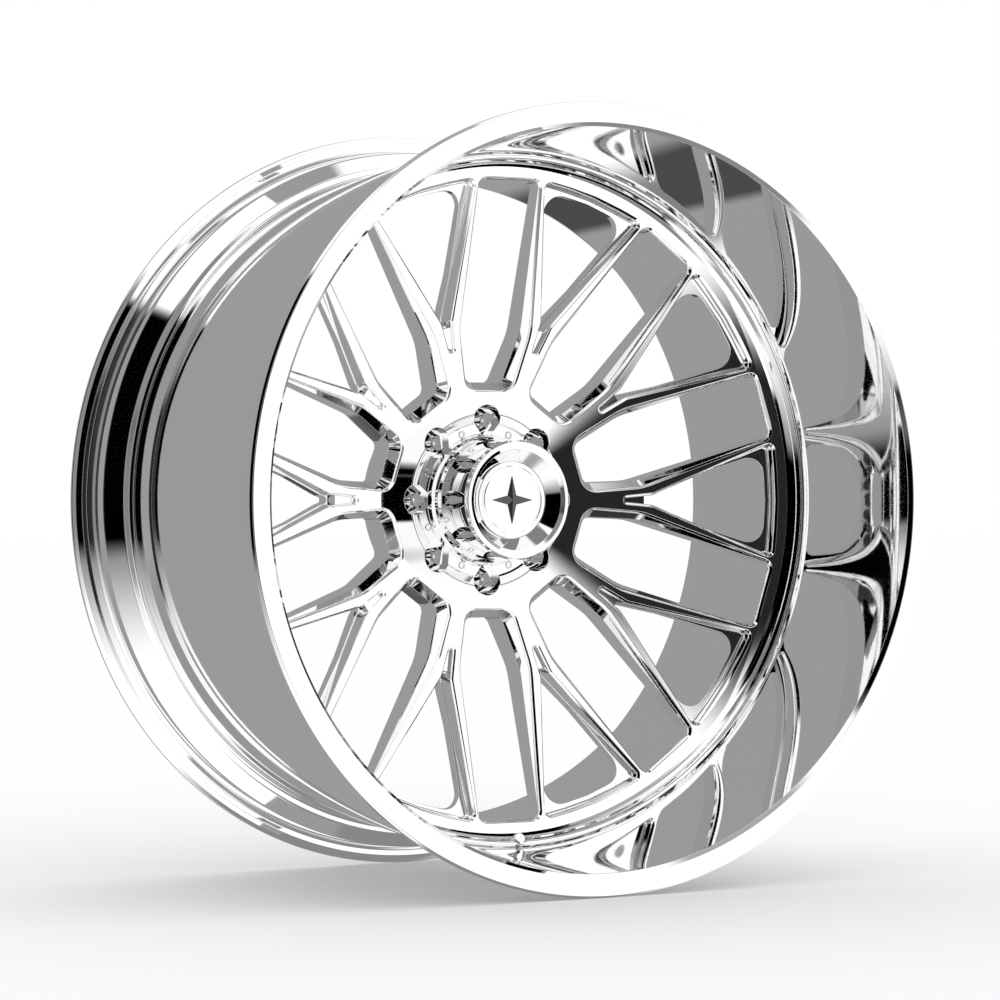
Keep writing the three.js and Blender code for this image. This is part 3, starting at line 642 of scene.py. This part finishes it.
def hub_ring(grow, depth, lean):
    """One ring of the scalloped outline grown by a distance. Returns numbers, normals and each lug's part."""
    radius, lug = RECESS_RADIUS + grow, LUG_RADIUS + grow
    swing, spread = crossing(radius, lug)
    numbers, normals, parts = [], [], []
    for k in range(LUGS):
        middle = FULL_TURN * k / LUGS
        centre = lug_centre(middle)
        part = []
        for j in range(ARC_PIECES + 1):
            t = middle - spread + 2 * spread * j / ARC_PIECES
            way = np.array((math.cos(t), math.sin(t)))
            x, z = centre + lug * way
            part.append(len(numbers))
            numbers.append(disc.add_at(x, z, depth(x, z)))
            lug_wall = np.array((-way[0], 0.0, -way[1]))
            rim_wall = -np.array((x, 0.0, z)) / math.hypot(x, z)
            first = rim_wall if j == 0 else lug_wall
            second = rim_wall if j == ARC_PIECES else lug_wall
            normals.append(tuple(mixed(side, face_normal(x, z), lean) for side in (first, second)))
        parts.append(part)
        gap = FULL_TURN / LUGS - 2 * swing
        for j in range(1, RECESS_PIECES):
            t = middle + swing + gap * j / RECESS_PIECES
            x, z = radius * math.cos(t), radius * math.sin(t)
            numbers.append(disc.add_at(x, z, depth(x, z)))
            wall = -np.array((math.cos(t), 0.0, math.sin(t)))
            both = mixed(wall, face_normal(x, z), lean)
            normals.append((both, both))
    return numbers, normals, parts


HUB_EDGE = [(1.2, 0.0, 1.0), (0.8, 0.1, 0.75), (0.35, 0.4, 0.5), (0.1, 0.85, 0.2), (0.0, 1.3, 0.0)]
hub_rings = []
for grow, extra, lean in HUB_EDGE:
    hub_rings.append(hub_ring(grow, lambda x, z, extra=extra: face_depth(x, z) + extra, lean))
hub_rings.append(hub_ring(0.0, lambda x, z: RECESS_DEPTH, 0.0))
for first, second in zip(hub_rings, hub_rings[1:]):
    disc.band(first[0], second[0], first[1], second[1])

window_shapes = [plane_of(disc, ring) for ring in front_rings]
hub_shape = plane_of(disc, hub_rings[0][0])


def on_face(x, z):
    return (np.hypot(x, z) < FACE_EDGE_RADIUS + 0.01) & outside(x, z, window_shapes + [hub_shape])


fill(disc, [edge_rings[0], hub_rings[0][0]] + front_rings, [], on_face,
     extra_points(112.0, FACE_EDGE_RADIUS - 3, on_face, window_shapes + [hub_shape]), face_depth, face_normal)

# Lug pockets, seats and stud holes.
recess_numbers, _, lug_parts = hub_rings[-1]
hole_rings, inner_chains = [], []
_, lug_spread = crossing(RECESS_RADIUS, LUG_RADIUS)
for k in range(LUGS):
    middle = FULL_TURN * k / LUGS
    centre = lug_centre(middle)

    def level(radius, depth, angles):
        return [disc.add_at(centre[0] + radius * math.cos(t), centre[1] + radius * math.sin(t), depth)
                for t in angles]

    def normals_at(inward, forward):
        made = [unit((-inward * math.cos(t), -forward, -inward * math.sin(t))) for t in ways]
        return [(n, n) for n in made]

    outer = [recess_numbers[i] for i in lug_parts[k]]
    ways = [middle - lug_spread + 2 * lug_spread * j / ARC_PIECES for j in range(ARC_PIECES + 1)]
    rest = [middle + lug_spread + (FULL_TURN - 2 * lug_spread) * j / INNER_PIECES
            for j in range(1, INNER_PIECES)]
    inner = level(LUG_RADIUS, RECESS_DEPTH, rest)
    inner_chains.append([outer[-1]] + inner + [outer[0]])
    ring = outer + inner
    ways += rest
    seat = level(LUG_RADIUS, LUG_SEAT_DEPTH - 1.0, ways)
    corner = level(LUG_RADIUS - 0.4, LUG_SEAT_DEPTH - 0.1, ways)
    lip = level(LUG_RADIUS - 1.2, LUG_SEAT_DEPTH + 0.6, ways)
    cone = level(LUG_HOLE_RADIUS, LUG_CONE_DEPTH, ways)
    mouth = level(LUG_HOLE_RADIUS, PAD_DEPTH, ways)
    wall, rounding, slope = normals_at(1.0, 0.0), normals_at(1.0, 0.5), normals_at(9.0, 8.0)
    disc.band(ring, seat, wall, wall)
    disc.band(seat, corner, wall, rounding)
    disc.band(corner, lip, rounding, slope)
    disc.band(lip, cone, slope, slope)
    disc.band(cone, mouth, wall, wall)
    hole_rings.append(mouth)

# Inner end of the disc: pad, bore and recess floor.
BORE_MOUTH_RADIUS = 65.6
PAD_EDGE_RADIUS = 111.0
BOSS_RADIUS = 122.0
BORE = [(BORE_MOUTH_RADIUS, PAD_DEPTH, 0.0), (BORE_RADIUS, 312.45, 0.6), (BORE_RADIUS, RECESS_DEPTH, 0.0)]
PAD_RIM = [(BOSS_RADIUS, 288.0, 0.0), (114.0, 311.45, 2.0), (PAD_EDGE_RADIUS, PAD_DEPTH, 0.0)]
bore_rings = lathe(disc, WHEEL_AXES, rounded(BORE, closed=False), 96, closed=False)
rim_rings = lathe(disc, WHEEL_AXES, rounded(PAD_RIM, closed=False), 144, closed=False)

SCREWS = 8
FIRST_SCREW = math.radians(22.5)
SCREW_CIRCLE = 75.0
SCREW_HOLE_RADIUS = 2.8
SCREW_HOLE_DEPTH = 272.0


def screw_axes(k):
    angle = FIRST_SCREW + FULL_TURN * k / SCREWS
    foot = np.array((SCREW_CIRCLE * math.cos(angle), 0.0, SCREW_CIRCLE * math.sin(angle)))
    return WHEEL_AXES[0] + MM * foot, RIGHT, AXLE, UP


screw_rings = []
for k in range(SCREWS):
    well = [(SCREW_HOLE_RADIUS, RECESS_DEPTH, 0.0), (SCREW_HOLE_RADIUS, SCREW_HOLE_DEPTH, 0.0),
            (0.0, SCREW_HOLE_DEPTH + 1.5, 0.0)]
    well = [(p, -a, -b) for p, a, b in rounded(well, closed=False)]
    screw_rings.append(lathe(disc, screw_axes(k), well, 14, closed=False)[0])
screw_shapes = [plane_of(disc, ring) for ring in screw_rings]


def on_recess_floor(x, z):
    radius = np.hypot(x, z)
    good = (radius > BORE_RADIUS) & (radius < RECESS_RADIUS) & outside(x, z, screw_shapes)
    for k in range(LUGS):
        lug_x, lug_z = lug_centre(FULL_TURN * k / LUGS)
        good &= np.hypot(x - lug_x, z - lug_z) > LUG_RADIUS
    return good


fill(disc, [recess_numbers, bore_rings[-1]] + screw_rings, inner_chains, on_recess_floor, [],
     lambda x, z: RECESS_DEPTH, flat_front)

hole_shapes = [plane_of(disc, ring) for ring in hole_rings]


def on_pad(x, z):
    radius = np.hypot(x, z)
    return (radius > BORE_MOUTH_RADIUS - 0.1) & (radius < PAD_EDGE_RADIUS) & outside(x, z, hole_shapes)


fill(disc, [bore_rings[0], rim_rings[-1]] + hole_rings, [], on_pad, circle_points((72.0, 98.0, 105.0), 90),
     lambda x, z: PAD_DEPTH, flat_back)

back_shapes = [plane_of(disc, ring) for ring in back_rings]


def on_back(x, z):
    radius = np.hypot(x, z)
    return (radius > BOSS_RADIUS) & (radius < BACK_EDGE_RADIUS) & outside(x, z, back_shapes)


fill(disc, [edge_rings[-1], rim_rings[0]] + back_rings, [], on_back,
     extra_points(BOSS_RADIUS + 6, BACK_EDGE_RADIUS - 3, on_back, back_shapes), back_depth, back_normal)
disc.build("centre_disc_forged", ALLOY, "polished_alloy", "wheel", "centre_disc")


# ---- centre cap -----------------------------------------------------------------------------

CAP_BACK = 255.7
CAP_STEP = 241.0
CAP = [
    (0.0, 198.7, 0.0), (40.8, 198.7, 0.0), (40.8, 192.4, 0.5), (53.0, 180.4, 1.2), (57.1, 178.4, 1.5),
    (61.2, 178.4, 1.2), (63.3, 182.4, 1.5), (63.3, 230.9, 3.0), (65.9, 234.9, 1.5), (66.7, 239.5, 1.0),
    (68.7, 241.7, 0.0), (69.5, 242.5, 1.0), (70.7, 248.8, 0.8), (81.3, 248.8, 0.8), (83.3, 246.5, 0.8),
    (90.5, 243.5, 0.6), (91.9, 245.1, 0.6), (91.9, CAP_BACK, 0.3), (68.7, CAP_BACK, 0.0), (62.3, CAP_BACK, 0.3),
    (62.3, 268.0, 0.6), (57.3, 268.0, 0.6), (57.3, 206.4, 3.0), (0.0, 206.4, 0.0),
]
PETAL_COLUMNS = 18
NOTCH_RADIUS = 16.3
NOTCH_START = LUG_CIRCLE - NOTCH_RADIUS

cap = Shell()
stations = rounded(CAP, closed=False)
rows = []
for point, _, _ in stations:
    radius = point[0]
    row = []
    swing = crossing(radius, NOTCH_RADIUS)[0] if radius > NOTCH_START + 0.001 else 0.0
    for k in range(LUGS):
        middle = FULL_TURN * (k + 0.5) / LUGS
        half = math.pi / LUGS - swing
        petal = []
        for j in range(PETAL_COLUMNS + 1):
            angle = middle + half * (2 * j / PETAL_COLUMNS - 1)
            if swing == 0.0 and j == 0 and k > 0:
                petal.append(row[-1][-1])
            elif swing == 0.0 and j == PETAL_COLUMNS and k == LUGS - 1:
                petal.append(row[0][0])
            elif radius < 0.001 and (row or petal):
                petal.append((row[0] if row else petal)[0])
            else:
                petal.append((cap.add(at(WHEEL_AXES, radius, point[1], angle)), angle))
        row.append(petal)
    rows.append(row)
for i in range(len(rows) - 1):
    for first, second in zip(rows[i], rows[i + 1]):
        cap.band([p[0] for p in first], [p[0] for p in second],
                 [(turned_normal(WHEEL_AXES, stations[i][2], p[1]),) * 2 for p in first],
                 [(turned_normal(WHEEL_AXES, stations[i + 1][1], p[1]),) * 2 for p in second], closed=False)
# The notches' walls round the lug pockets.
top_rows = [i for i, (point, _, _) in enumerate(stations)
            if point[0] > NOTCH_START - 0.001 and CAP_STEP < point[1] < CAP_BACK - 0.1]
for k in range(LUGS):
    for side in (0, -1):
        centre = lug_centre(FULL_TURN * (k - side) / LUGS)
        edge = [rows[i][k][side][0] for i in top_rows]
        low, normals = [], []
        for x, z in plane_of(cap, edge):
            low.append(cap.add_at(x, z, CAP_BACK))
            normals.append((unit((centre[0] - x, 0.0, centre[1] - z)),) * 2)
        cap.band(edge, low, normals, normals, closed=False)
cap.build("cap_turned", CHROME, "chrome_trim", "wheel", "cap_body")

PLATE = [(0.0, 192.4, 0.0), (33.0, 192.4, 0.6), (33.8, 193.0, 0.6), (35.4, 193.0, 0.6), (36.2, 192.4, 0.6),
         (40.5, 192.4, 0.6), (40.5, 198.4, 0.4), (0.0, 198.4, 0.0)]
plate = Shell()
lathe(plate, WHEEL_AXES, rounded(PLATE, closed=False), 144, closed=False)
plate.build("cap_plate", CHROME, "chrome_trim", "wheel", "cap_face_plate")

RING_CENTRE = (67.7, 254.1)
RING_RADIUS = 1.4
RING = [(RING_CENTRE[0] + RING_RADIUS * math.cos(t), RING_CENTRE[1] + RING_RADIUS * math.sin(t), 0.0)
        for t in (FULL_TURN * k / 16 for k in range(16))]
oring = Shell()
lathe(oring, WHEEL_AXES, rounded(RING), 120)
oring.build("cap_seal", RUBBER, "seal_rubber", "wheel", "cap_oring")

# Badge: a plain four-pointed star with faceted arms.
STAR_REACH = (25.0, 7.0)
STAR_CREST, STAR_EDGE, STAR_FOOT = 190.3, 191.5, 192.1
star = Shell()
crest = star.add_at(0.0, 0.0, STAR_CREST)
tips, low_tips = [], []
for j in range(8):
    angle = math.pi * j / 4
    x, z = STAR_REACH[j % 2] * math.cos(angle), STAR_REACH[j % 2] * math.sin(angle)
    tips.append(star.add_at(x, z, STAR_EDGE))
    low_tips.append(star.add_at(x, z, STAR_FOOT))
foot = star.add_at(0.0, 0.0, STAR_FOOT)
for j in range(8):
    n = (j + 1) % 8
    a, b, c = (np.array(star.points[i]) for i in (crest, tips[j], tips[n]))
    facet = unit(np.cross(b - a, c - a))
    facet = facet if facet[1] < 0 else -facet
    star.face([(crest, facet), (tips[j], facet), (tips[n], facet)])
    side = unit(np.cross(c - b, AXLE))
    side = side if side @ (b + c - 2 * WHEEL_AXES[0]) > 0 else -side
    star.face([(tips[j], side), (tips[n], side), (low_tips[n], side), (low_tips[j], side)])
    star.face([(foot, AXLE), (low_tips[j], AXLE), (low_tips[n], AXLE)])
star.build("cap_star", EMBLEM, "dark_emblem", "wheel", "cap_emblem")


# ---- screws ---------------------------------------------------------------------------------

def hexagon_reach(flat, angle):
    """Distance to the side of a hexagon, flat from centre to side, at an angle."""
    third = math.pi / 3
    return flat / math.cos((angle % third) - third / 2)


HEAD_TOP = 248.0
HEAD_SEAT = 253.8
SCREW_END = HEAD_SEAT + 13.0
SCREW = [
    (3.1, HEAD_TOP, 0.0), (3.7, HEAD_TOP, 0.5), (4.2, HEAD_TOP + 0.6, 0.5), (4.2, HEAD_SEAT, 0.2),
    (2.5, HEAD_SEAT, 0.0), (2.5, SCREW_END - 0.6, 0.0), (1.9, SCREW_END, 0.0), (0.0, SCREW_END, 0.0),
]
SCREW_STEPS = 30
SOCKET_FLAT = 2.1
SOCKET_MOUTH, SOCKET_END, SOCKET_TIP = HEAD_TOP + 0.2, HEAD_TOP + 3.4, HEAD_TOP + 3.8

for k in range(SCREWS):
    screw = Shell()
    axes = screw_axes(k)
    rings = lathe(screw, axes, rounded(SCREW, closed=False), SCREW_STEPS, closed=False)
    angles = [FULL_TURN * j / SCREW_STEPS for j in range(SCREW_STEPS)]
    mouth, bottom = [[screw.add(at(axes, hexagon_reach(SOCKET_FLAT, a), depth, a)) for a in angles]
                     for depth in (SOCKET_MOUTH, SOCKET_END)]
    front, walls = [(-AXLE, -AXLE)] * SCREW_STEPS, []
    for a in angles:
        side = (math.floor(a / (math.pi / 3)) + 0.5) * math.pi / 3
        walls.append((-turned_normal(axes, (1.0, 0.0), side),) * 2)
    screw.band(rings[0], mouth, front, front)
    screw.band(mouth, bottom, walls, walls)
    middle = screw.add(at(axes, 0.0, SOCKET_TIP, 0.0))
    for j in range(SCREW_STEPS):
        screw.face([(bottom[j], -AXLE), (bottom[(j + 1) % SCREW_STEPS], -AXLE), (middle, -AXLE)])
    screw.build("cap_screw_%d_socket" % (k + 1), STEEL, "screw_steel", "wheel", "cap_screw_%d" % (k + 1))


# ---- valve ----------------------------------------------------------------------------------

VALVE_TILT = math.radians(32.0)
VALVE_DEPTH = 190.0
VALVE_RADIUS = 363.6
VALVE_OUT = np.array((0.0, -math.cos(VALVE_TILT), math.sin(VALVE_TILT)))
VALVE_ORIGIN = np.array((0.0, FRONT_Y + VALVE_DEPTH * MM, -VALVE_RADIUS * MM))
VALVE_AXES = (VALVE_ORIGIN, np.cross(VALVE_OUT, RIGHT), VALVE_OUT, RIGHT)


def valve_piece(name, node_name, profile, material, slot_name, body, steps=40):
    """A turned piece about the valve's own axis. Profiles run inner side down, outer side up."""
    shell = Shell()
    lathe(shell, VALVE_AXES, rounded(profile), steps)
    return shell.build(name, material, slot_name, body, node_name)


valve_piece("valve_tube", "valve_stem", [
    (2.6, -12.0, 0.2), (8.0, -12.0, 0.8), (8.0, -9.8, 0.4), (3.9, -9.8, 0.4), (3.9, 12.0, 0.3),
    (3.4, 12.5, 0.2), (2.6, 12.5, 0.2)], BRASS, "valve_brass", "wheel")
valve_piece("valve_seal_inner", "valve_grommet_inner", [
    (4.2, -9.5, 0.3), (8.0, -9.5, 0.6), (8.4, -8.2, 0.6), (8.0, -7.3, 0.3), (4.2, -7.3, 0.3)],
    RUBBER, "seal_rubber", "wheel")
valve_piece("valve_seal_outer", "valve_grommet_outer", [
    (4.2, 0.3, 0.3), (8.2, 0.3, 0.3), (8.4, 1.1, 0.4), (8.2, 1.9, 0.3), (4.2, 1.9, 0.3)],
    RUBBER, "seal_rubber", "wheel")
valve_piece("valve_washer_plated", "valve_washer", [
    (4.2, 2.2, 0.2), (8.4, 2.2, 0.2), (8.4, 3.0, 0.3), (8.1, 3.2, 0.3), (4.2, 3.2, 0.2)],
    CHROME, "chrome_trim", "wheel")
valve_piece("valve_core_tube", "valve_core_body", [
    (0.75, 3.0, 0.1), (2.3, 3.0, 0.2), (2.3, 11.5, 0.3), (0.75, 11.5, 0.1)], BRASS, "valve_brass", "wheel", 24)
valve_piece("valve_pin", "valve_core_pin", [
    (0.0, -2.0, 0.0), (0.9, -2.0, 0.2), (0.9, 0.6, 0.2), (0.45, 1.2, 0.2), (0.45, 12.2, 0.2), (0.0, 12.2, 0.0)],
    BRASS, "valve_brass", "core_pin", 16)
valve_piece("valve_cap_seal_ring", "valve_cap_seal", [
    (1.0, 12.8, 0.2), (3.9, 12.8, 0.3), (3.9, 14.5, 0.3), (1.0, 14.5, 0.2)],
    RUBBER, "seal_rubber", "dust_cap", 24)


def shaped(name, node_name, profile, reach, body, steps):
    """A piece about the valve's axis whose radius at each angle is limited by reach(angle, height)."""
    stations = rounded(profile)
    angles = [FULL_TURN * j / steps for j in range(steps)]
    points, faces = [], []
    for point, _, _ in stations:
        for angle in angles:
            points.append(at(VALVE_AXES, min(point[0], reach(angle, point[1])), point[1], angle))
    count = len(stations)
    for i in range(count):
        for j in range(steps):
            a, b = i * steps + j, i * steps + (j + 1) % steps
            c, d = ((i + 1) % count) * steps + (j + 1) % steps, ((i + 1) % count) * steps + j
            faces.append((a, d, c, b))
    mesh = bpy.data.meshes.new(name)
    mesh.from_pydata([tuple(p) for p in points], [], faces)
    mesh.polygons.foreach_set("use_smooth", [True] * len(mesh.polygons))
    mesh.set_sharp_from_angle(angle=math.radians(28))
    return finish_piece(mesh, name, CHROME, "chrome_trim", body, node_name)


NUT_FLAT = 6.07
VALVE_CAP_RADIUS = 6.8
KNURLS = 24
KNURL_DEPTH = 0.22
KNURL_FROM, KNURL_TO = 10.6, 15.8


def nut_reach(angle, height):
    return hexagon_reach(NUT_FLAT, angle)


def knurled_reach(angle, height):
    if not KNURL_FROM < height < KNURL_TO:
        return VALVE_CAP_RADIUS
    return VALVE_CAP_RADIUS - KNURL_DEPTH * (1 - math.cos(KNURLS * angle))


shaped("valve_nut_hexagon", "valve_nut", [
    (4.2, 3.5, 0.2), (7.0, 3.5, 0.2), (7.0, 7.8, 0.1), (5.9, 9.0, 0.2), (4.2, 9.0, 0.2)],
    nut_reach, "wheel", 72)
shaped("valve_cap_knurled", "valve_cap", [
    (4.2, 14.8, 0.0), (4.2, 9.3, 0.2), (6.2, 9.3, 0.2), (6.8, 9.9, 0.3), (6.8, 11.0, 0.2), (6.8, 15.4, 0.2),
    (6.8, 16.4, 0.6), (5.4, 17.8, 0.6), (0.4, 17.8, 0.0), (0.4, 14.8, 0.0)],
    knurled_reach, "dust_cap", 144)


# ---- camera, floor and studio ---------------------------------------------------------------

# A long lens level with the axle, 30 degrees to the left of it.
CAMERA_LENS = 130.878
CAMERA_PLACE = (-1.93318, -3.32555, 0.0)
CAMERA_HEADING = -0.526169
camera_data = bpy.data.cameras.new("camera")
camera_data.sensor_width = 36.0
camera_data.lens = CAMERA_LENS
camera = bpy.data.objects.new("camera", camera_data)
camera.location = CAMERA_PLACE
camera.rotation_euler = (math.pi / 2, 0.0, CAMERA_HEADING)
bpy.context.scene.collection.objects.link(camera)
bpy.context.scene.camera = camera

FLOOR_HALF = 30.0   # metres
FLOOR_SHADE = 0.995
floor_corners = [(x, y, FLOOR_Z) for x, y in ((-FLOOR_HALF, -FLOOR_HALF), (FLOOR_HALF, -FLOOR_HALF),
                                              (FLOOR_HALF, FLOOR_HALF), (-FLOOR_HALF, FLOOR_HALF))]
floor_mesh = bpy.data.meshes.new("floor")
floor_mesh.from_pydata(floor_corners, [], [(0, 1, 2, 3)])
floor = bpy.data.objects.new("floor", floor_mesh)
bpy.context.scene.collection.objects.link(floor)
paper = bpy.data.materials.new("floor_paper")
paper.use_nodes = True
paper_shader = paper.node_tree.nodes["Principled BSDF"]
paper_shader.inputs["Base Color"].default_value = (FLOOR_SHADE, FLOOR_SHADE, FLOOR_SHADE, 1.0)
paper_shader.inputs["Roughness"].default_value = 0.9
paper_shader.inputs["Specular IOR Level"].default_value = 0.0
floor_mesh.materials.append(paper)
floor.visible_glossy = False

world = bpy.data.worlds.new("studio")
bpy.context.scene.world = world
world.use_nodes = True
sky = world.node_tree
for item in list(sky.nodes):
    sky.nodes.remove(item)


def math_node(kind, first, second=None):
    made = sky.nodes.new("ShaderNodeMath")
    made.operation = kind
    for slot_number, value in enumerate((first, second)):
        if value is None:
            continue
        if isinstance(value, (int, float)):
            made.inputs[slot_number].default_value = value
        else:
            sky.links.new(value, made.inputs[slot_number])
    return made.outputs["Value"]


def smooth(value, low, high):
    """0 below low and 1 above high, with a smooth step between."""
    made = node(sky, "ShaderNodeMapRange", From_Min=low, From_Max=high)
    made.interpolation_type = "SMOOTHSTEP"
    sky.links.new(value, made.inputs["Value"])
    return made.outputs["Result"]


look = sky.nodes.new("ShaderNodeTexCoord")
parts = sky.nodes.new("ShaderNodeSeparateXYZ")
sky.links.new(look.outputs["Generated"], parts.inputs["Vector"])
look_x, look_y, look_z = (parts.outputs[axis] for axis in "XYZ")
forward = math_node("MULTIPLY", look_y, -1.0)
azimuth = math_node("MULTIPLY", math_node("ARCTAN2", look_x, forward), 180.0 / math.pi)
elevation = math_node("MULTIPLY", math_node("ARCSINE", look_z), 180.0 / math.pi)


def card(level, west, east, low, high, soft_side, soft_low, soft_high, shade):
    """Lays a rectangle of one shade, soft at its edges, over the studio's level so far."""
    across = math_node("MULTIPLY", smooth(azimuth, west - soft_side, west + soft_side),
                       math_node("SUBTRACT", 1.0, smooth(azimuth, east - soft_side, east + soft_side)))
    upright = math_node("MULTIPLY", smooth(elevation, low - soft_low, low + soft_low),
                        math_node("SUBTRACT", 1.0, smooth(elevation, high - soft_high, high + soft_high)))
    cover = math_node("MULTIPLY", across, upright)
    return math_node("ADD", math_node("MULTIPLY", level, math_node("SUBTRACT", 1.0, cover)),
                     math_node("MULTIPLY", cover, shade))


# Azimuth 0 is the show side and 90 is to the wheel's right. Each card is west, east, low and high edge, the
# softness of its sides, bottom and top, and its shade.
OPEN_STUDIO = 1.15
CARDS = [
    (-45.0, 55.0, 62.0, 120.0, 8.0, 4.0, 4.0, 0.42),     # ceiling in front
    (-25.0, 135.0, -120.0, -50.0, 8.0, 5.0, 5.0, 0.26),  # floor in front and to the right
    (-240.0, -118.0, -120.0, 120.0, 2.0, 5.0, 5.0, 0.34),  # back wall, left half
    (128.0, 240.0, -120.0, 120.0, 2.0, 5.0, 5.0, 0.34),  # back wall, right half
    (-118.0, -47.0, -26.0, 47.0, 2.0, 18.0, 2.0, 0.24),  # left wall above a bright floor
    (128.0, 172.0, -52.0, -27.0, 2.0, 4.0, 3.0, 0.072),  # foot of the back wall, right half
    (-96.0, -44.5, -12.0, 47.0, 2.0, 3.0, 2.0, 0.0),     # black flag to the left
    (-118.0, -94.0, -10.0, 47.0, 2.0, 6.0, 4.0, 0.04),   # dimmer end of that flag
    (-44.5, 4.0, -13.0, 39.0, 2.0, 9.0, 3.0, 0.27),      # grey screen at front left
    (-53.0, -45.0, -24.0, -9.0, 2.0, 2.0, 2.0, 0.0),     # low corner of the black flag
    (-46.0, -39.5, 17.0, 45.0, 2.0, 3.0, 3.0, 0.0),      # high corner of the black flag
    (-21.0, 16.5, -12.5, 12.5, 2.5, 2.5, 2.5, 0.02),     # camera-side black card
]
level = OPEN_STUDIO
for values in CARDS:
    level = card(level, *values)

# Mirror reflections see the cards. Everything else sees an even white room.
WHITE = (1.0, 1.0, 1.0, 1.0)
glow = node(sky, "ShaderNodeBackground", Color=WHITE)
sky.links.new(level, glow.inputs["Strength"])
plain = node(sky, "ShaderNodeBackground", Color=WHITE, Strength=1.0)
path = sky.nodes.new("ShaderNodeLightPath")
either = sky.nodes.new("ShaderNodeMixShader")
sky.links.new(path.outputs["Is Glossy Ray"], either.inputs["Fac"])
sky.links.new(plain.outputs["Background"], either.inputs[1])
sky.links.new(glow.outputs["Background"], either.inputs[2])
output = sky.nodes.new("ShaderNodeOutputWorld")
sky.links.new(either.outputs["Shader"], output.inputs["Surface"])
bpy.context.scene.view_settings.view_transform = "Standard"
